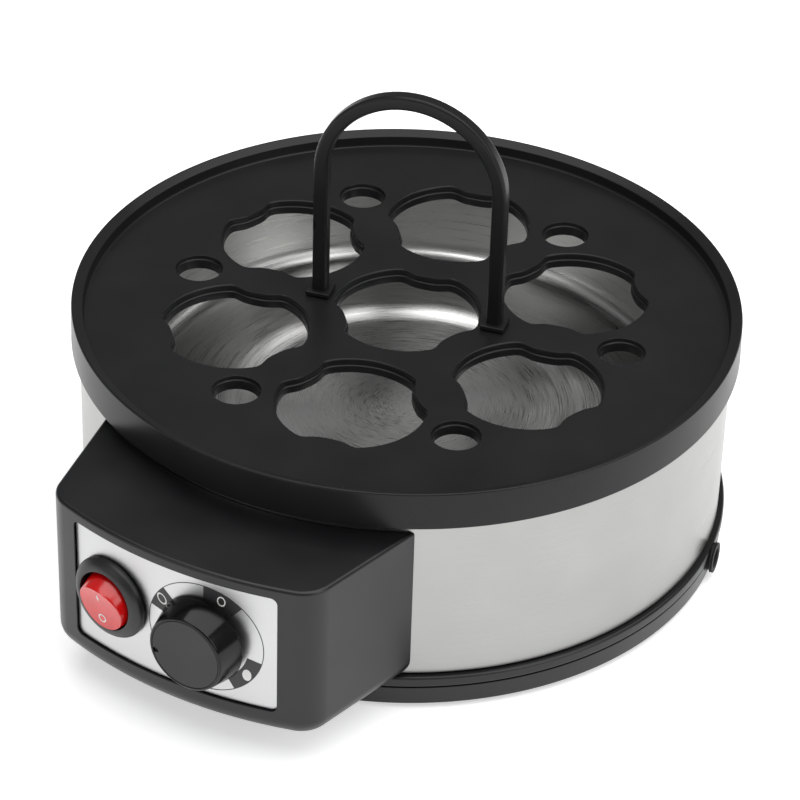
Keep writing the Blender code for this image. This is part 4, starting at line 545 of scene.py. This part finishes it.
print("tubes", len(tubes))

# %% Rim, lip and skirt, then the deck between them
SKIRT_INNER, RIM_RADIUS = 88.4, 90.0
ARCH_MIDDLE, SLOT_WIDTH, SLOT_DEPTH = 24.6, 4.6, 4.7
rim = start_ring("egg_tray_moulding", 86.1, DECK_TOP)
walk((86.1, DECK_TOP),
     [(86.4, DECK_TOP + 0.08), (86.62, DECK_TOP + 0.3), (86.7, DECK_TOP + 0.65),
      (86.92, RIM_TOP - 1.45), (87.0, RIM_TOP - 1.16), (87.22, RIM_TOP - 1.0),
      (89.2, RIM_TOP - 0.12), (89.5, RIM_TOP - 0.01), (89.75, RIM_TOP - 0.06),
      (89.93, RIM_TOP - 0.24), (RIM_RADIUS, RIM_TOP - 0.5), (SKIRT_RADIUS, SKIRT_LOW + 0.4),
      (SKIRT_RADIUS - 0.1, SKIRT_LOW + 0.12), (SKIRT_RADIUS - 0.35, SKIRT_LOW),
      (SKIRT_INNER + 0.35, SKIRT_LOW), (SKIRT_INNER + 0.1, SKIRT_LOW + 0.1),
      (SKIRT_INNER, SKIRT_LOW + 0.4), (SKIRT_INNER, DECK_LOW)])
put_down()
slots = []
for side in (-1, 1):
    slot = bar("handle_slot", (SLOT_WIDTH, SLOT_DEPTH, DECK_TOP - DECK_LOW),
               (side * ARCH_MIDDLE, 0, (DECK_TOP + DECK_LOW) / 2))
    edit(slot)
    pick(slot, "FACE", lambda face: abs(face.normal.z) > 0.9)
    bpy.ops.mesh.delete(type="ONLY_FACE")
    put_down()
    settle(slot, on_circle(0, 0, PATTERN_ANGLE))
    slots.append(slot)
tray = joined([rim, *tubes, *slots])
edit(tray)
for height in (DECK_TOP, DECK_LOW):
    pick(tray, "EDGE", lambda edge: edge.is_boundary and all(
        abs(vert.co.z - height * MM) < 0.01 * MM for vert in edge.verts))
    bpy.ops.mesh.fill(use_beauty=True)
weld()
put_down()
finish_piece(tray, tray_plastic, "tray", ["egg_tray"])

# %% [markdown]
# ## The lifting handle
# A rigid arch of the same plastic stands on the tray. Its feet pass through slots in the deck and
# toes snap open below. A curve with a bevel could draw it; here a rounded section is raised, spun
# half round and let down again, so the section stays true all the way.

# %% Arch with collars and toes
ARCH_OUTER = 26.6               # the arch's outer radius, half its thickness beyond its middle
ARCH_SPRING = level("tray_handle", 1) - ARCH_OUTER
FOOT_Z = DECK_LOW - 0.3 - 1.6   # a small gap below the deck, and then the toe

put_down()
bpy.ops.mesh.primitive_plane_add(size=1, location=(ARCH_MIDDLE * MM, 0, FOOT_Z * MM))
arch = bpy.context.object
arch.name = arch.data.name = "lifting_arch"
arch.scale = (4.0 * MM, 4.1 * MM, 1)
bpy.ops.object.transform_apply(location=True, rotation=True, scale=True)
edit(arch)
bpy.ops.mesh.select_all(action="SELECT")
bpy.ops.mesh.bevel(offset=0.9 * MM, segments=4, affect="VERTICES")
bpy.ops.mesh.select_mode(type="FACE")
bpy.ops.mesh.select_all(action="SELECT")
bpy.ops.mesh.extrude_region_move(
    TRANSFORM_OT_translate={"value": (0, 0, (ARCH_SPRING - FOOT_Z) * MM)})
bpy.ops.mesh.spin(steps=40, angle=pi, center=(0, 0, ARCH_SPRING * MM), axis=(0, 1, 0))
bpy.ops.mesh.extrude_region_move(
    TRANSFORM_OT_translate={"value": (0, 0, (FOOT_Z - ARCH_SPRING) * MM)})
weld()
pick(arch, "FACE", lambda face: len(face.verts) > 4
     and abs(face.calc_center_median().z - ARCH_SPRING * MM) < 0.1 * MM)
bpy.ops.mesh.delete(type="ONLY_FACE")
weld()
put_down()
parts = [arch]
for side in (-1, 1):
    collar = bar("collar", (6.6, 6.7, 1.4), (side * ARCH_MIDDLE, 0, DECK_TOP + 1.0))
    toe = bar("toe", (4.0, 6.7, 1.45), (side * ARCH_MIDDLE, 0, DECK_LOW - 1.03))
    for block, width in ((collar, 0.35), (toe, 0.2)):
        apply_modifier(block, "BEVEL", width=width * MM, segments=3)
    parts += [collar, toe]
arch = joined(parts)
settle(arch, on_circle(0, 0, PATTERN_ANGLE))
print("arch top", round(max(corner[2] for corner in arch.bound_box) / MM, 2))
finish_piece(arch, tray_plastic, "tray", ["tray_handle"])

# %% [markdown]
# ## Dish, jacket and base
# The dish is pressed from stainless sheet: a flat flange, a rounded lip, a steep wall and a floor
# with a shallow ring step. The jacket is a rolled band with turned edges. The base is a moulded
# ring with a bead that shines above a satin band. All three are walked up from a circle.

# %% Heating dish
FLANGE_LOW, FLOOR = FLANGE_TOP - 0.8, FLANGE_TOP - 27.2
MOUTH, FOOT = 78.6, 75.6
upper = [(86.9, FLANGE_LOW), (87.8, FLANGE_LOW + 0.05), (88.0, FLANGE_LOW + 0.4),
         (87.8, FLANGE_TOP - 0.05), (87.4, FLANGE_TOP),
         *rounded((MOUTH + 1.4, FLANGE_TOP - 1.4), 1.4, 90, 180),
         *rounded((FOOT - 6.0, FLOOR + 6.0), 6.0, 0, -90, 8),
         (49.5, FLOOR), (47.5, FLOOR - 0.14), (45.3, FLOOR - 0.75), (43.1, FLOOR - 1.36),
         (41.1, FLOOR - 1.5), (20, FLOOR - 1.5)]
under = [(20, FLOOR - 2.3), (44.55, FLOOR - 2.3), (45.3, FLOOR - 0.9), (FOOT - 6.0, FLOOR - 0.8),
         *rounded((FOOT - 6.0, FLOOR + 6.0), 6.8, -80, 0, 6),
         *rounded((MOUTH + 1.4, FLANGE_TOP - 1.4), 0.6, 175, 90, 3)]
dish = turned_solid("spun_dish", under + upper, 180)
finish_piece(dish, dish_steel, "housing", ["heating_dish"])

# %% Steel jacket with its wire window, and the moulded base
jacket = turned_ring("jacket_band", [
    (JACKET_RADIUS - 0.6, JACKET_LOW + 0.2), (JACKET_RADIUS - 0.4, JACKET_LOW),
    (JACKET_RADIUS - 0.2, JACKET_LOW), (JACKET_RADIUS, JACKET_LOW + 0.25),
    (JACKET_RADIUS, JACKET_TOP - 0.25), (JACKET_RADIUS - 0.2, JACKET_TOP),
    (JACKET_RADIUS - 0.4, JACKET_TOP), (JACKET_RADIUS - 0.6, JACKET_TOP - 0.2)])
band_top, shell_out, ledge = 5.7, JACKET_RADIUS - 0.9, JACKET_TOP - 1.2
base = turned_ring("base_moulding", [
    (84.9, 0.3), (85.2, 0.0), (88.5, 0.0), *rounded((88.5, 0.6), 0.6, -60, 0, 3),
    (89.5, band_top - 0.35), (89.4, band_top - 0.1), (89.15, band_top), (88.3, band_top - 0.02),
    (88.3, band_top + 0.3), (89.05, band_top + 0.3),
    *rounded((89.1, band_top + 0.9), 0.6, -60, 0, 3),
    *rounded((88.9, 8.3), 0.8, 0, 90, 5), (shell_out, 9.1), (shell_out, ledge), (82.0, ledge),
    (82.0, ledge - 2.2), (84.9, ledge - 2.2)])
window_low, window_top = BOX_LOW + 8.8, BOX_TOP - 9.7
for wall in (jacket, base):
    cut(wall, bar("wire_window", (40, 24, window_top - window_low),
                  (0, -JACKET_RADIUS, (window_top + window_low) / 2)))
GLAND_ANGLE, GLAND_Z = 11.0, 5.0


def outwards(angle, height, reach=0):
    """Place that looks straight out of the round wall."""
    return (Matrix.Rotation(radians(angle), 4, "Z")
            @ Matrix.Translation((reach * MM, 0, height * MM)) @ Matrix.Rotation(pi / 2, 4, "Y"))


passage = turned_solid("gland_passage", [(3.9, 76), (3.9, 94)], 48)
settle(passage, outwards(GLAND_ANGLE, GLAND_Z))
cut(base, passage)
finish_piece(jacket, jacket_steel, "housing", ["steel_jacket"])
finish_piece(base, box_plastic, "housing", ["body_shell"])

# %% [markdown]
# ## Feet and cord gland
# Four soft rubber feet push into the base, and a ribbed rubber gland guards the cord's hole. Both
# are turned shapes with generous rounds, because rubber is moulded without sharp edges.

# %% Rubber parts
foot = turned_solid("rubber_foot", [
    (1.6, -1.2), (2.6, -1.5), (6.0, -1.5), *rounded((6.0, -0.5), 1.0, -70, 0, 4), (7.0, 1.2),
    (6.7, 1.5), (2.5, 1.5), (2.5, 3.9), (3.4, 3.9), (3.6, 4.1), (1.8, 5.5)], 40)
for place in range(4):
    number = place + 1
    piece = copied(foot, "rubber_foot_%d" % number, on_circle(68.0, 45 + 90 * place))
    finish_piece(piece, rubber, "housing", ["foot_%d" % number])
bpy.data.objects.remove(foot)
gland = turned_ring("ribbed_gland", [
    (2.7, 85.3), (3.5, 85.2), (3.6, 85.4), (3.6, 89.95), (4.2, 90.0), (4.3, 90.1), (4.2, 90.3),
    (3.95, 90.33), (3.95, 90.57), (4.2, 90.6), (4.3, 90.75), (4.15, 90.9), (2.9, 90.9),
    (2.7, 90.7)], 40)
settle(gland, outwards(GLAND_ANGLE, GLAND_Z))
finish_piece(gland, rubber, "housing", ["cord_gland"])

# %% [markdown]
# ## The control box
# The box is a hollow moulding that hugs the round body. Its plan has slanted sides, big rounded
# corners and a curved front. The plan is set out with circles at the corners and at the front and
# wrapped in a convex hull, and is then raised and its edges rounded. A smaller block of the same
# plan hollows it. The round body, the plate's recess and the panel holes are then cut away.

# %% Plan of the box
BOX_FRONT, BOX_BACK, JOIN_HALF, SLANT, CORNER = 116.9, 88.3, 46.7, radians(11.9), 9.2
ROOT_DEPTH = 8.0                # how far the block runs into the round body before it is cut


def box_shape(name, front, inset, corner, low, top, low_edge, top_edge):
    """Rounded block with the box's plan, drawn in by an inset."""
    heading = Vector((-sin(SLANT), -cos(SLANT)))
    inward = Vector((-cos(SLANT), sin(SLANT)))
    start = Vector((JOIN_HALF, -sqrt(BOX_BACK ** 2 - JOIN_HALF ** 2))) + inward * inset
    rail = start + inward * corner
    along = -rail.dot(heading)
    centre = rail + heading * (along + sqrt(along ** 2 - rail.length_squared
                                            + (front - corner) ** 2))
    root = start - heading * ROOT_DEPTH
    rings = []
    for side in (-1, 1):
        bpy.ops.mesh.primitive_circle_add(vertices=96, radius=corner * MM,
                                          location=(side * centre.x * MM, centre.y * MM, low * MM))
        rings.append(bpy.context.object)
        bpy.ops.mesh.primitive_circle_add(vertices=4, radius=0.01 * MM,
                                          location=(side * root.x * MM, root.y * MM, low * MM))
        rings.append(bpy.context.object)
    bpy.ops.mesh.primitive_circle_add(vertices=360, radius=front * MM, location=(0, 0, low * MM))
    sweep = bpy.context.object
    edge_turn = atan2(centre.x, -centre.y)
    edit(sweep)
    pick(sweep, "VERT", lambda vert: abs(atan2(vert.co.x, -vert.co.y)) > edge_turn)
    bpy.ops.mesh.delete(type="VERT")
    put_down()
    block = joined([sweep, *rings])
    block.name = block.data.name = name
    hold(block)
    bpy.ops.object.transform_apply(location=True, rotation=True, scale=True)
    edit(block)
    bpy.ops.mesh.select_mode(type="VERT")
    bpy.ops.mesh.select_all(action="SELECT")
    bpy.ops.mesh.remove_doubles(threshold=0.5 * MM)
    bpy.ops.mesh.select_all(action="SELECT")
    bpy.ops.mesh.convex_hull(join_triangles=False)
    pick(block, "EDGE", lambda edge: not edge.link_faces)
    bpy.ops.mesh.delete(type="EDGE")
    bpy.ops.mesh.select_all(action="SELECT")
    bpy.ops.mesh.dissolve_limited(angle_limit=radians(0.3))
    pick(block, "FACE", lambda face: True)
    bpy.ops.mesh.extrude_region_move(TRANSFORM_OT_translate={"value": (0, 0, (top - low) * MM)})
    for height, width, steps in ((low, low_edge, 8), (top, top_edge, 4)):
        pick(block, "EDGE", lambda edge: all(abs(vert.co.z - height * MM) < 0.01 * MM
                                             for vert in edge.verts))
        bpy.ops.mesh.bevel(offset=width * MM, segments=steps, affect="EDGES")
    weld()
    put_down()
    return block


box = box_shape("control_box_moulding", BOX_FRONT, 0, CORNER, BOX_LOW, BOX_TOP, 5.5, 1.0)
print("box block", [round(size / MM, 1) for size in box.dimensions])

# %% Hollow it and cut it to the round body and the panel
BOX_WALL = 2.2
PLATE_RADIUS, PLATE_HALF, RECESS_RADIUS = 116.1, 30.0, 115.2
SWITCH_HOLE, DIAL_HOLE, BASE_HOLE, BASE_HOLE_TOP = 10.1, 4.8, 90.0, 9.4
SWITCH_X, SWITCH_Z = -17.6, (PLATE_LOW + PLATE_TOP) / 2 + 0.35
DIAL_X, DIAL_Z = 10.5, (PLATE_LOW + PLATE_TOP) / 2 - 0.25
switch_turn = asin(SWITCH_X / PLATE_RADIUS)
switch_place = Vector((SWITCH_X, -PLATE_RADIUS * cos(switch_turn), SWITCH_Z)) * MM
at_switch = (Matrix.Translation(switch_place) @ Matrix.Rotation(switch_turn, 4, "Z")
             @ Matrix.Rotation(pi / 2, 4, "X"))
dial_place = Vector((DIAL_X, -sqrt(PLATE_RADIUS ** 2 - DIAL_X ** 2), DIAL_Z)) * MM
at_dial = Matrix.Translation(dial_place) @ Matrix.Rotation(pi / 2, 4, "X")


def curved_slab(name, outer, inner, half_width, low, top, corner):
    """Slab that follows the curved front, from a ring cut to its width and height."""
    slab = turned_ring(name, [(inner, low), (outer, low), (outer, top), (inner, top)], 720)
    window = bar("slab_window", (2 * half_width, 60, top - low), (0, -outer, (low + top) / 2))
    edit(window)
    pick(window, "EDGE", lambda edge: abs(
        (edge.verts[0].co - edge.verts[1].co).normalized().y) > 0.9)
    bpy.ops.mesh.bevel(offset=corner * MM, segments=6, affect="EDGES")
    put_down()
    cut(slab, window, "INTERSECT")
    return slab


def round_tool(place, radius, low, high):
    """Drill of that radius, from one depth to another along the place's own axis."""
    tool = turned_solid("round_tool", [(radius, low), (radius, high)], 64)
    settle(tool, place)
    return tool


cut(box, box_shape("box_hollow", RECESS_RADIUS - BOX_WALL, BOX_WALL, CORNER - BOX_WALL,
                   BOX_LOW + BOX_WALL, BOX_TOP - BOX_WALL, 3.3, 0.2))
cut(box, turned_solid("body_room", [(BASE_HOLE, -2), (BASE_HOLE, BASE_HOLE_TOP),
                                    (BOX_BACK, BASE_HOLE_TOP), (BOX_BACK, BOX_TOP + 6)]))
cut(box, curved_slab("recess", 124, RECESS_RADIUS, PLATE_HALF + 0.3, PLATE_LOW - 0.3,
                     PLATE_TOP + 0.3, 1.9))
cut(box, round_tool(at_switch, SWITCH_HOLE, -14, 6))
cut(box, round_tool(at_dial, DIAL_HOLE, -14, 6))
finish_piece(box, box_plastic, "housing", ["control_box"], crease=28)

# %% [markdown]
# ## The faceplate and its prints
# The plate is thin aluminium with a satin anodised face, bent to the front. Its marks are printed:
# a fine ring round the dial, three dark fields that widen round it, and egg signs for soft, medium
# and hard. Flat shapes are drawn in front of the plate and pressed onto its curve.

# %% Faceplate
plate = curved_slab("anodised_plate", PLATE_RADIUS, PLATE_RADIUS - 0.6, PLATE_HALF, PLATE_LOW,
                    PLATE_TOP, 1.6)
cut(plate, round_tool(at_switch, SWITCH_HOLE, -8, 6))
cut(plate, round_tool(at_dial, DIAL_HOLE, -8, 6))
finish_piece(plate, plate_aluminium, "housing", ["faceplate"])

# %% Prints on the plate
PRINT_THICKNESS, PRINT_LIFT, DRAWN_AHEAD = 0.04, 0.03, 3.0
DIAL_SCALE = 90 / 88            # the dial is laid out for a rim of 88 mm, and the rim is 90 mm
RING_INNER, RING_OUTER = 15.55 * DIAL_SCALE, 15.75 * DIAL_SCALE
FIELD_INNER, FIELD_OUTER = 11.8 * DIAL_SCALE, 15.6 * DIAL_SCALE


def lay_ink(shape, thickness, material, body):
    """Give a pressed outline the thickness of its film, its ink and its body."""
    apply_modifier(shape, "SOLIDIFY", thickness=thickness * MM, offset=0)
    shape.data.materials.clear()
    shape.data.materials.append(material)
    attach(shape, body)
    print(shape.name, [round(size / MM, 2) for size in shape.dimensions])


def print_piece(name, shape, material):
    """Press a flat outline, drawn in the dial's own plane, onto the curved plate."""
    settle(shape, TO_PLACE @ at_dial @ Matrix.Translation((0, 0, DRAWN_AHEAD * MM)))
    shape.name = shape.data.name = name
    apply_modifier(shape, "SHRINKWRAP", target=plate, wrap_method="PROJECT", use_project_x=False,
                   use_project_y=True, use_project_z=False, use_negative_direction=True,
                   use_positive_direction=True, offset=PRINT_LIFT * MM)
    lay_ink(shape, PRINT_THICKNESS, material, "housing")


def band(inner, outer, first=-180, last=180):
    """Flat arc between two radii and two angles round the dial, from a circle with a part kept."""
    put_down()
    bpy.ops.mesh.primitive_circle_add(vertices=240, radius=inner * MM, fill_type="NOTHING")
    shape = bpy.context.object
    edit(shape)
    half, middle = (last - first) / 2, radians((first + last) / 2)
    if half < 179:
        aim = Vector((cos(middle), sin(middle)))
        pick(shape, "VERT", lambda vert: vert.co.xy.angle(aim) > radians(half))
        bpy.ops.mesh.delete(type="VERT")
    bpy.ops.mesh.select_all(action="SELECT")
    bpy.ops.mesh.extrude_region_move()
    bpy.ops.transform.resize(value=(outer / inner, outer / inner, 1), center_override=(0, 0, 0))
    put_down()
    return shape


print_piece("dial_ring", band(RING_INNER, RING_OUTER), black_ink)
for name, first, last in (("field_soft", 135, 165), ("field_medium", 49, 90),
                          ("field_hard", -60, -13)):
    print_piece(name, band(FIELD_INNER, FIELD_OUTER, first, last), black_ink)

# %% [markdown]
# ## Egg signs
# Each sign is an egg drawn with a flattened circle: an outline for soft, half filled for medium and
# filled for hard. A real print shows them in the plate's light colour inside the dark fields.

# %% Three egg signs
OUTLINE = 0.26                  # share of an egg's half width that its outline takes


def egg_sign(angle, reach, size, lean, fill):
    """Egg at an angle round the dial: an outline (0), half filled (0.5) or filled (1)."""
    put_down()
    spot = (reach * cos(radians(angle)) * MM, reach * sin(radians(angle)) * MM, 0)
    bpy.ops.mesh.primitive_circle_add(vertices=48, radius=1 * MM, fill_type="NGON")
    shape = bpy.context.object
    edit(shape)
    bpy.ops.mesh.select_all(action="SELECT")
    if fill < 1:
        bpy.ops.mesh.inset(thickness=OUTLINE * MM, use_outset=False)
        if fill > 0:
            bpy.ops.mesh.bisect(plane_co=(0, 0, 0), plane_no=(0, 1, 0))
        pick(shape, "FACE", lambda face: face.calc_center_median().y < 0.001 * MM
             and len(face.verts) > 4)
        bpy.ops.mesh.delete(type="ONLY_FACE")
    put_down()
    shape.scale = (size[0], size[1], 1)
    shape.rotation_euler.z = radians(lean)
    shape.location = spot
    hold(shape)
    bpy.ops.object.transform_apply(location=True, rotation=True, scale=True)
    return shape


for name, angle, reach, size, lean, fill in (
        ("sign_soft", 148.6, 13.8, (1.25, 1.8), 35, 0),
        ("sign_medium", 69, 13.4, (1.15, 1.5), 0, 0.5),
        ("sign_hard", -35.4, 14.0, (1.2, 1.75), 0, 1)):
    print_piece(name, egg_sign(angle, reach * DIAL_SCALE, size, lean, fill), white_ink)

# %% [markdown]
# ## The switch
# The switch is a bought-in round rocker: a domed bezel, a barrel that snaps into the panel, and a
# red rocker with a hollowed face. It stands switched off, its lower half pressed in.

# %% Bezel and barrel
MOUTH_RADIUS, BEZEL_RADIUS, BARREL_RADIUS = 8.25, 11.4, 9.8
bezel = turned_ring("switch_bezel", [
    (2.5, -15.9), (9.7, -16.0), (BARREL_RADIUS, -15.8), (BARREL_RADIUS, 0.3), (11.25, 0.3),
    (BEZEL_RADIUS, 0.45), (BEZEL_RADIUS, 0.95), (11.25, 1.45), (10.9, 1.95), (10.45, 2.4),
    (9.9, 2.78), (9.3, 3.02), (8.8, 3.15), (8.5, 3.17), (8.3, 3.1), (MOUTH_RADIUS, 2.95),
    (MOUTH_RADIUS, -7.5), (2.5, -7.5)], 96)
blades = [bar("terminal_blade", (6.3, 0.8, 7.7), (0, row * 5.5, -18.85)) for row in (-1, 0, 1)]
for blade in blades:
    apply_modifier(blade, "BEVEL", width=0.15 * MM, segments=2)
bezel = joined([bezel, *blades])
settle(bezel, at_switch)
finish_piece(bezel, satin_nylon, "housing", ["switch_body"])

# %% Rocker
BALL, KEEL, VALLEY, SCOOP, PIVOT_DEPTH, HALF_THROW = 7.95, 4.0, 6.0, 40.0, 1.5, 12.0
heights = [-KEEL, -3, -2, -1, 0]
ball_side = [(sqrt(BALL ** 2 - height ** 2), height) for height in heights]
taper = [(7.92, 1), (7.80, 2), (7.60, 3), (7.38, 4.2), (7.05, 5.6), (6.70, 6.9)]
rocker = turned_solid("rocker_lens", ball_side + taper, 96)
put_down()
bpy.ops.mesh.primitive_cylinder_add(vertices=512, radius=SCOOP * MM, depth=40 * MM,
                                    location=(0, 0, (VALLEY + SCOOP) * MM), rotation=(0, pi / 2, 0))
scoop = bpy.context.object
bpy.ops.object.transform_apply(location=True, rotation=True, scale=True)
cut(rocker, scoop)
edit(rocker)
pick(rocker, "EDGE", lambda edge: len(edge.link_faces) == 2
     and edge.calc_face_angle() > radians(20) and edge.verts[0].co.z > 0)
bpy.ops.mesh.bevel(offset=0.25 * MM, segments=3, affect="EDGES", clamp_overlap=True)
weld()
put_down()
at_pivot = (at_switch @ Matrix.Translation((0, 0, -PIVOT_DEPTH * MM))
            @ Matrix.Rotation(radians(HALF_THROW), 4, "X"))
settle(rocker, at_pivot)
print("rocker", [round(size / MM, 1) for size in rocker.dimensions])
finish_piece(rocker, lens, "rocker", ["rocker"], crease=30)

# %% Marks on the rocker
MARK_THICKNESS, MARK_LIFT, MARK_REACH, MARK_START = 0.03, 0.04, 3.6, 7.5


def rocker_mark(name, points, inner, across):
    """White sign for the rocker's face: a ring, or a bar when it has four points."""
    put_down()
    bpy.ops.mesh.primitive_circle_add(vertices=points, radius=1, fill_type="NOTHING")
    sign = bpy.context.object
    sign.name = sign.data.name = name
    sign.scale = (across[0] * MM, across[1] * MM, 1)
    bpy.ops.object.transform_apply(location=True, rotation=True, scale=True)
    edit(sign)
    bpy.ops.mesh.select_all(action="SELECT")
    bpy.ops.mesh.extrude_region_move()
    bpy.ops.transform.resize(value=(inner, inner, 1), center_override=(0, 0, 0))
    put_down()
    return sign


for mark, side in ((rocker_mark("rocker_off_mark", 40, 0.72, (1.25, 1.25)), -1),
                   (rocker_mark("rocker_on_mark", 4, 0.05, (0.35, 1.3)), 1)):
    settle(mark, TO_PLACE @ at_pivot
           @ Matrix.Translation((0, side * MARK_REACH * MM, MARK_START * MM)))
    apply_modifier(mark, "SHRINKWRAP", target=rocker, wrap_method="NEAREST_SURFACEPOINT",
                   wrap_mode="OUTSIDE_SURFACE", offset=MARK_LIFT * MM)
    lay_ink(mark, MARK_THICKNESS, white_ink, "rocker")

# %% [markdown]
# ## The knob
# The knob is a tapered glossy turning piece with a matt disc set into its face. A small notch in
# the disc is the pointer. It turns on the regulator's shaft.

# %% Knob and its disc
KNOB_BASE, KNOB_FRONT, KNOB_RADIUS = 1.0, 8.5, 10.2
POINTER_ANGLE = 193             # where the pointer rests, in degrees round the dial
knob = turned_solid("knob_turning", [
    (3.4, 4.0), (9.0, 4.0), (9.0, 1.15), (9.15, KNOB_BASE), (11.8, KNOB_BASE), (12.1, 1.12),
    (12.2, 1.4), (10.62, 8.0), (10.5, 8.3), (KNOB_RADIUS, KNOB_FRONT), (9.95, KNOB_FRONT),
    (9.8, 8.4), (9.8, 7.4), (3.4, 7.4)], 128)
disc = turned_solid("knob_disc", [(9.5, 7.7), (9.7, 7.85), (9.7, 8.4), (9.6, KNOB_FRONT)], 128)
notch = bar("notch", (2.6, 1.4, 1.2), (9.5, 0, KNOB_FRONT))
settle(notch, Matrix.Rotation(radians(POINTER_ANGLE), 4, "Z"))
apply_modifier(notch, "BEVEL", width=0.15 * MM, segments=2)
cut(disc, notch)
for piece, finish, slot, node in ((knob, gloss_plastic, "gloss_plastic", "knob"),
                                  (disc, matt_plastic, "black_plastic", "knob_cap")):
    settle(piece, at_dial)
    finish_piece(piece, finish, "knob", [node])

# %% [markdown]
# ## Finishes for the solid parts that stay as they are
# Screws, wires, the heater and its clamps keep their solid shapes. They only need their finishes.

# %% Give the solid parts their finishes
FINISH_OF = {"zinc_steel": zinc, "aluminium": bare_aluminium, "brass": brass, "silicone": silicone,
             "white_plastic": nylon, "brown_phenolic": phenolic, "neon_glass": neon,
             "wire_sleeve": sleeve, "rubber": rubber, "black_plastic": box_plastic,
             "gloss_plastic": gloss_plastic, "tray_plastic": tray_plastic,
             "brushed_steel": jacket_steel, "polished_steel": dish_steel,
             "silver_plate": plate_aluminium, "red_lens": lens}
for name, node in nodes.items():
    for material_slot in node.material_slots:
        given = FINISH_OF.get(material_slot.material.name.split(".")[0])
        if given:
            material_slot.material = given
print("solid parts finished")

# %% [markdown]
# ## Studio
# The cooker stands on a plain pale floor. One very large soft light hangs overhead towards the
# right, two small ones fill from the right and the left front, and the pale floor gives the steel
# its calm grey. The surround stays dim, so that black plastic stays black. Together they leave the
# floor nearly white.

# %% Floor and lights
FLOOR_GLOW, SURROUND = 0.5, 0.22
AIM = (0, 0, 0.05)              # the middle of the body, in metres


def soft_light(name, place, size, power):
    """Square area light aimed at the body; its place and size are in metres, its power in watts."""
    put_down()
    bpy.ops.object.light_add(type="AREA", location=place)
    light = bpy.context.object
    light.name = name
    light.data.shape = "RECTANGLE"
    light.data.size = light.data.size_y = size
    light.data.energy = power
    light.rotation_euler = (Vector(AIM) - Vector(place)).to_track_quat("-Z", "Y").to_euler()
    return light


put_down()
bpy.ops.mesh.primitive_plane_add(size=8, location=(0, 0, 0))
floor = bpy.context.object
floor.name = "studio_floor"
floor_paper, floor_tree, floor_shader = new_finish("pale_studio_paper", "#f6f6f6", 0.9)
floor_fibre = speckle(floor_tree, object_place(floor_tree), 1.2, 2.0)
floor_tree.links.new(tinted(floor_tree, floor_fibre, "#f6f6f6", "#f4f4f4"),
                     floor_shader.inputs["Base Color"])
# The sheet is lit a little from below, as on a studio light table, so shadows stay faint.
floor_shader.inputs["Emission Color"].default_value = linear("#ffffff")
floor_shader.inputs["Emission Strength"].default_value = FLOOR_GLOW
floor.data.materials.append(floor_paper)
lights = [soft_light("overhead_softbox", (0.25, 0.1, 1.8), 2.4, 42),
          soft_light("right_softbox", (1.5, -0.2, 0.8), 0.9, 6),
          soft_light("front_softbox", (-0.7, -1.5, 0.9), 0.9, 3)]

world = bpy.data.worlds.new("even_surround")
bpy.context.scene.world = world
world.use_nodes = True
backdrop = world.node_tree.nodes["Background"]
backdrop.inputs["Color"].default_value = linear("#f2f3f4")
backdrop.inputs["Strength"].default_value = SURROUND
bpy.context.scene.view_settings.view_transform = "Standard"
print("lights", [light.name for light in lights])
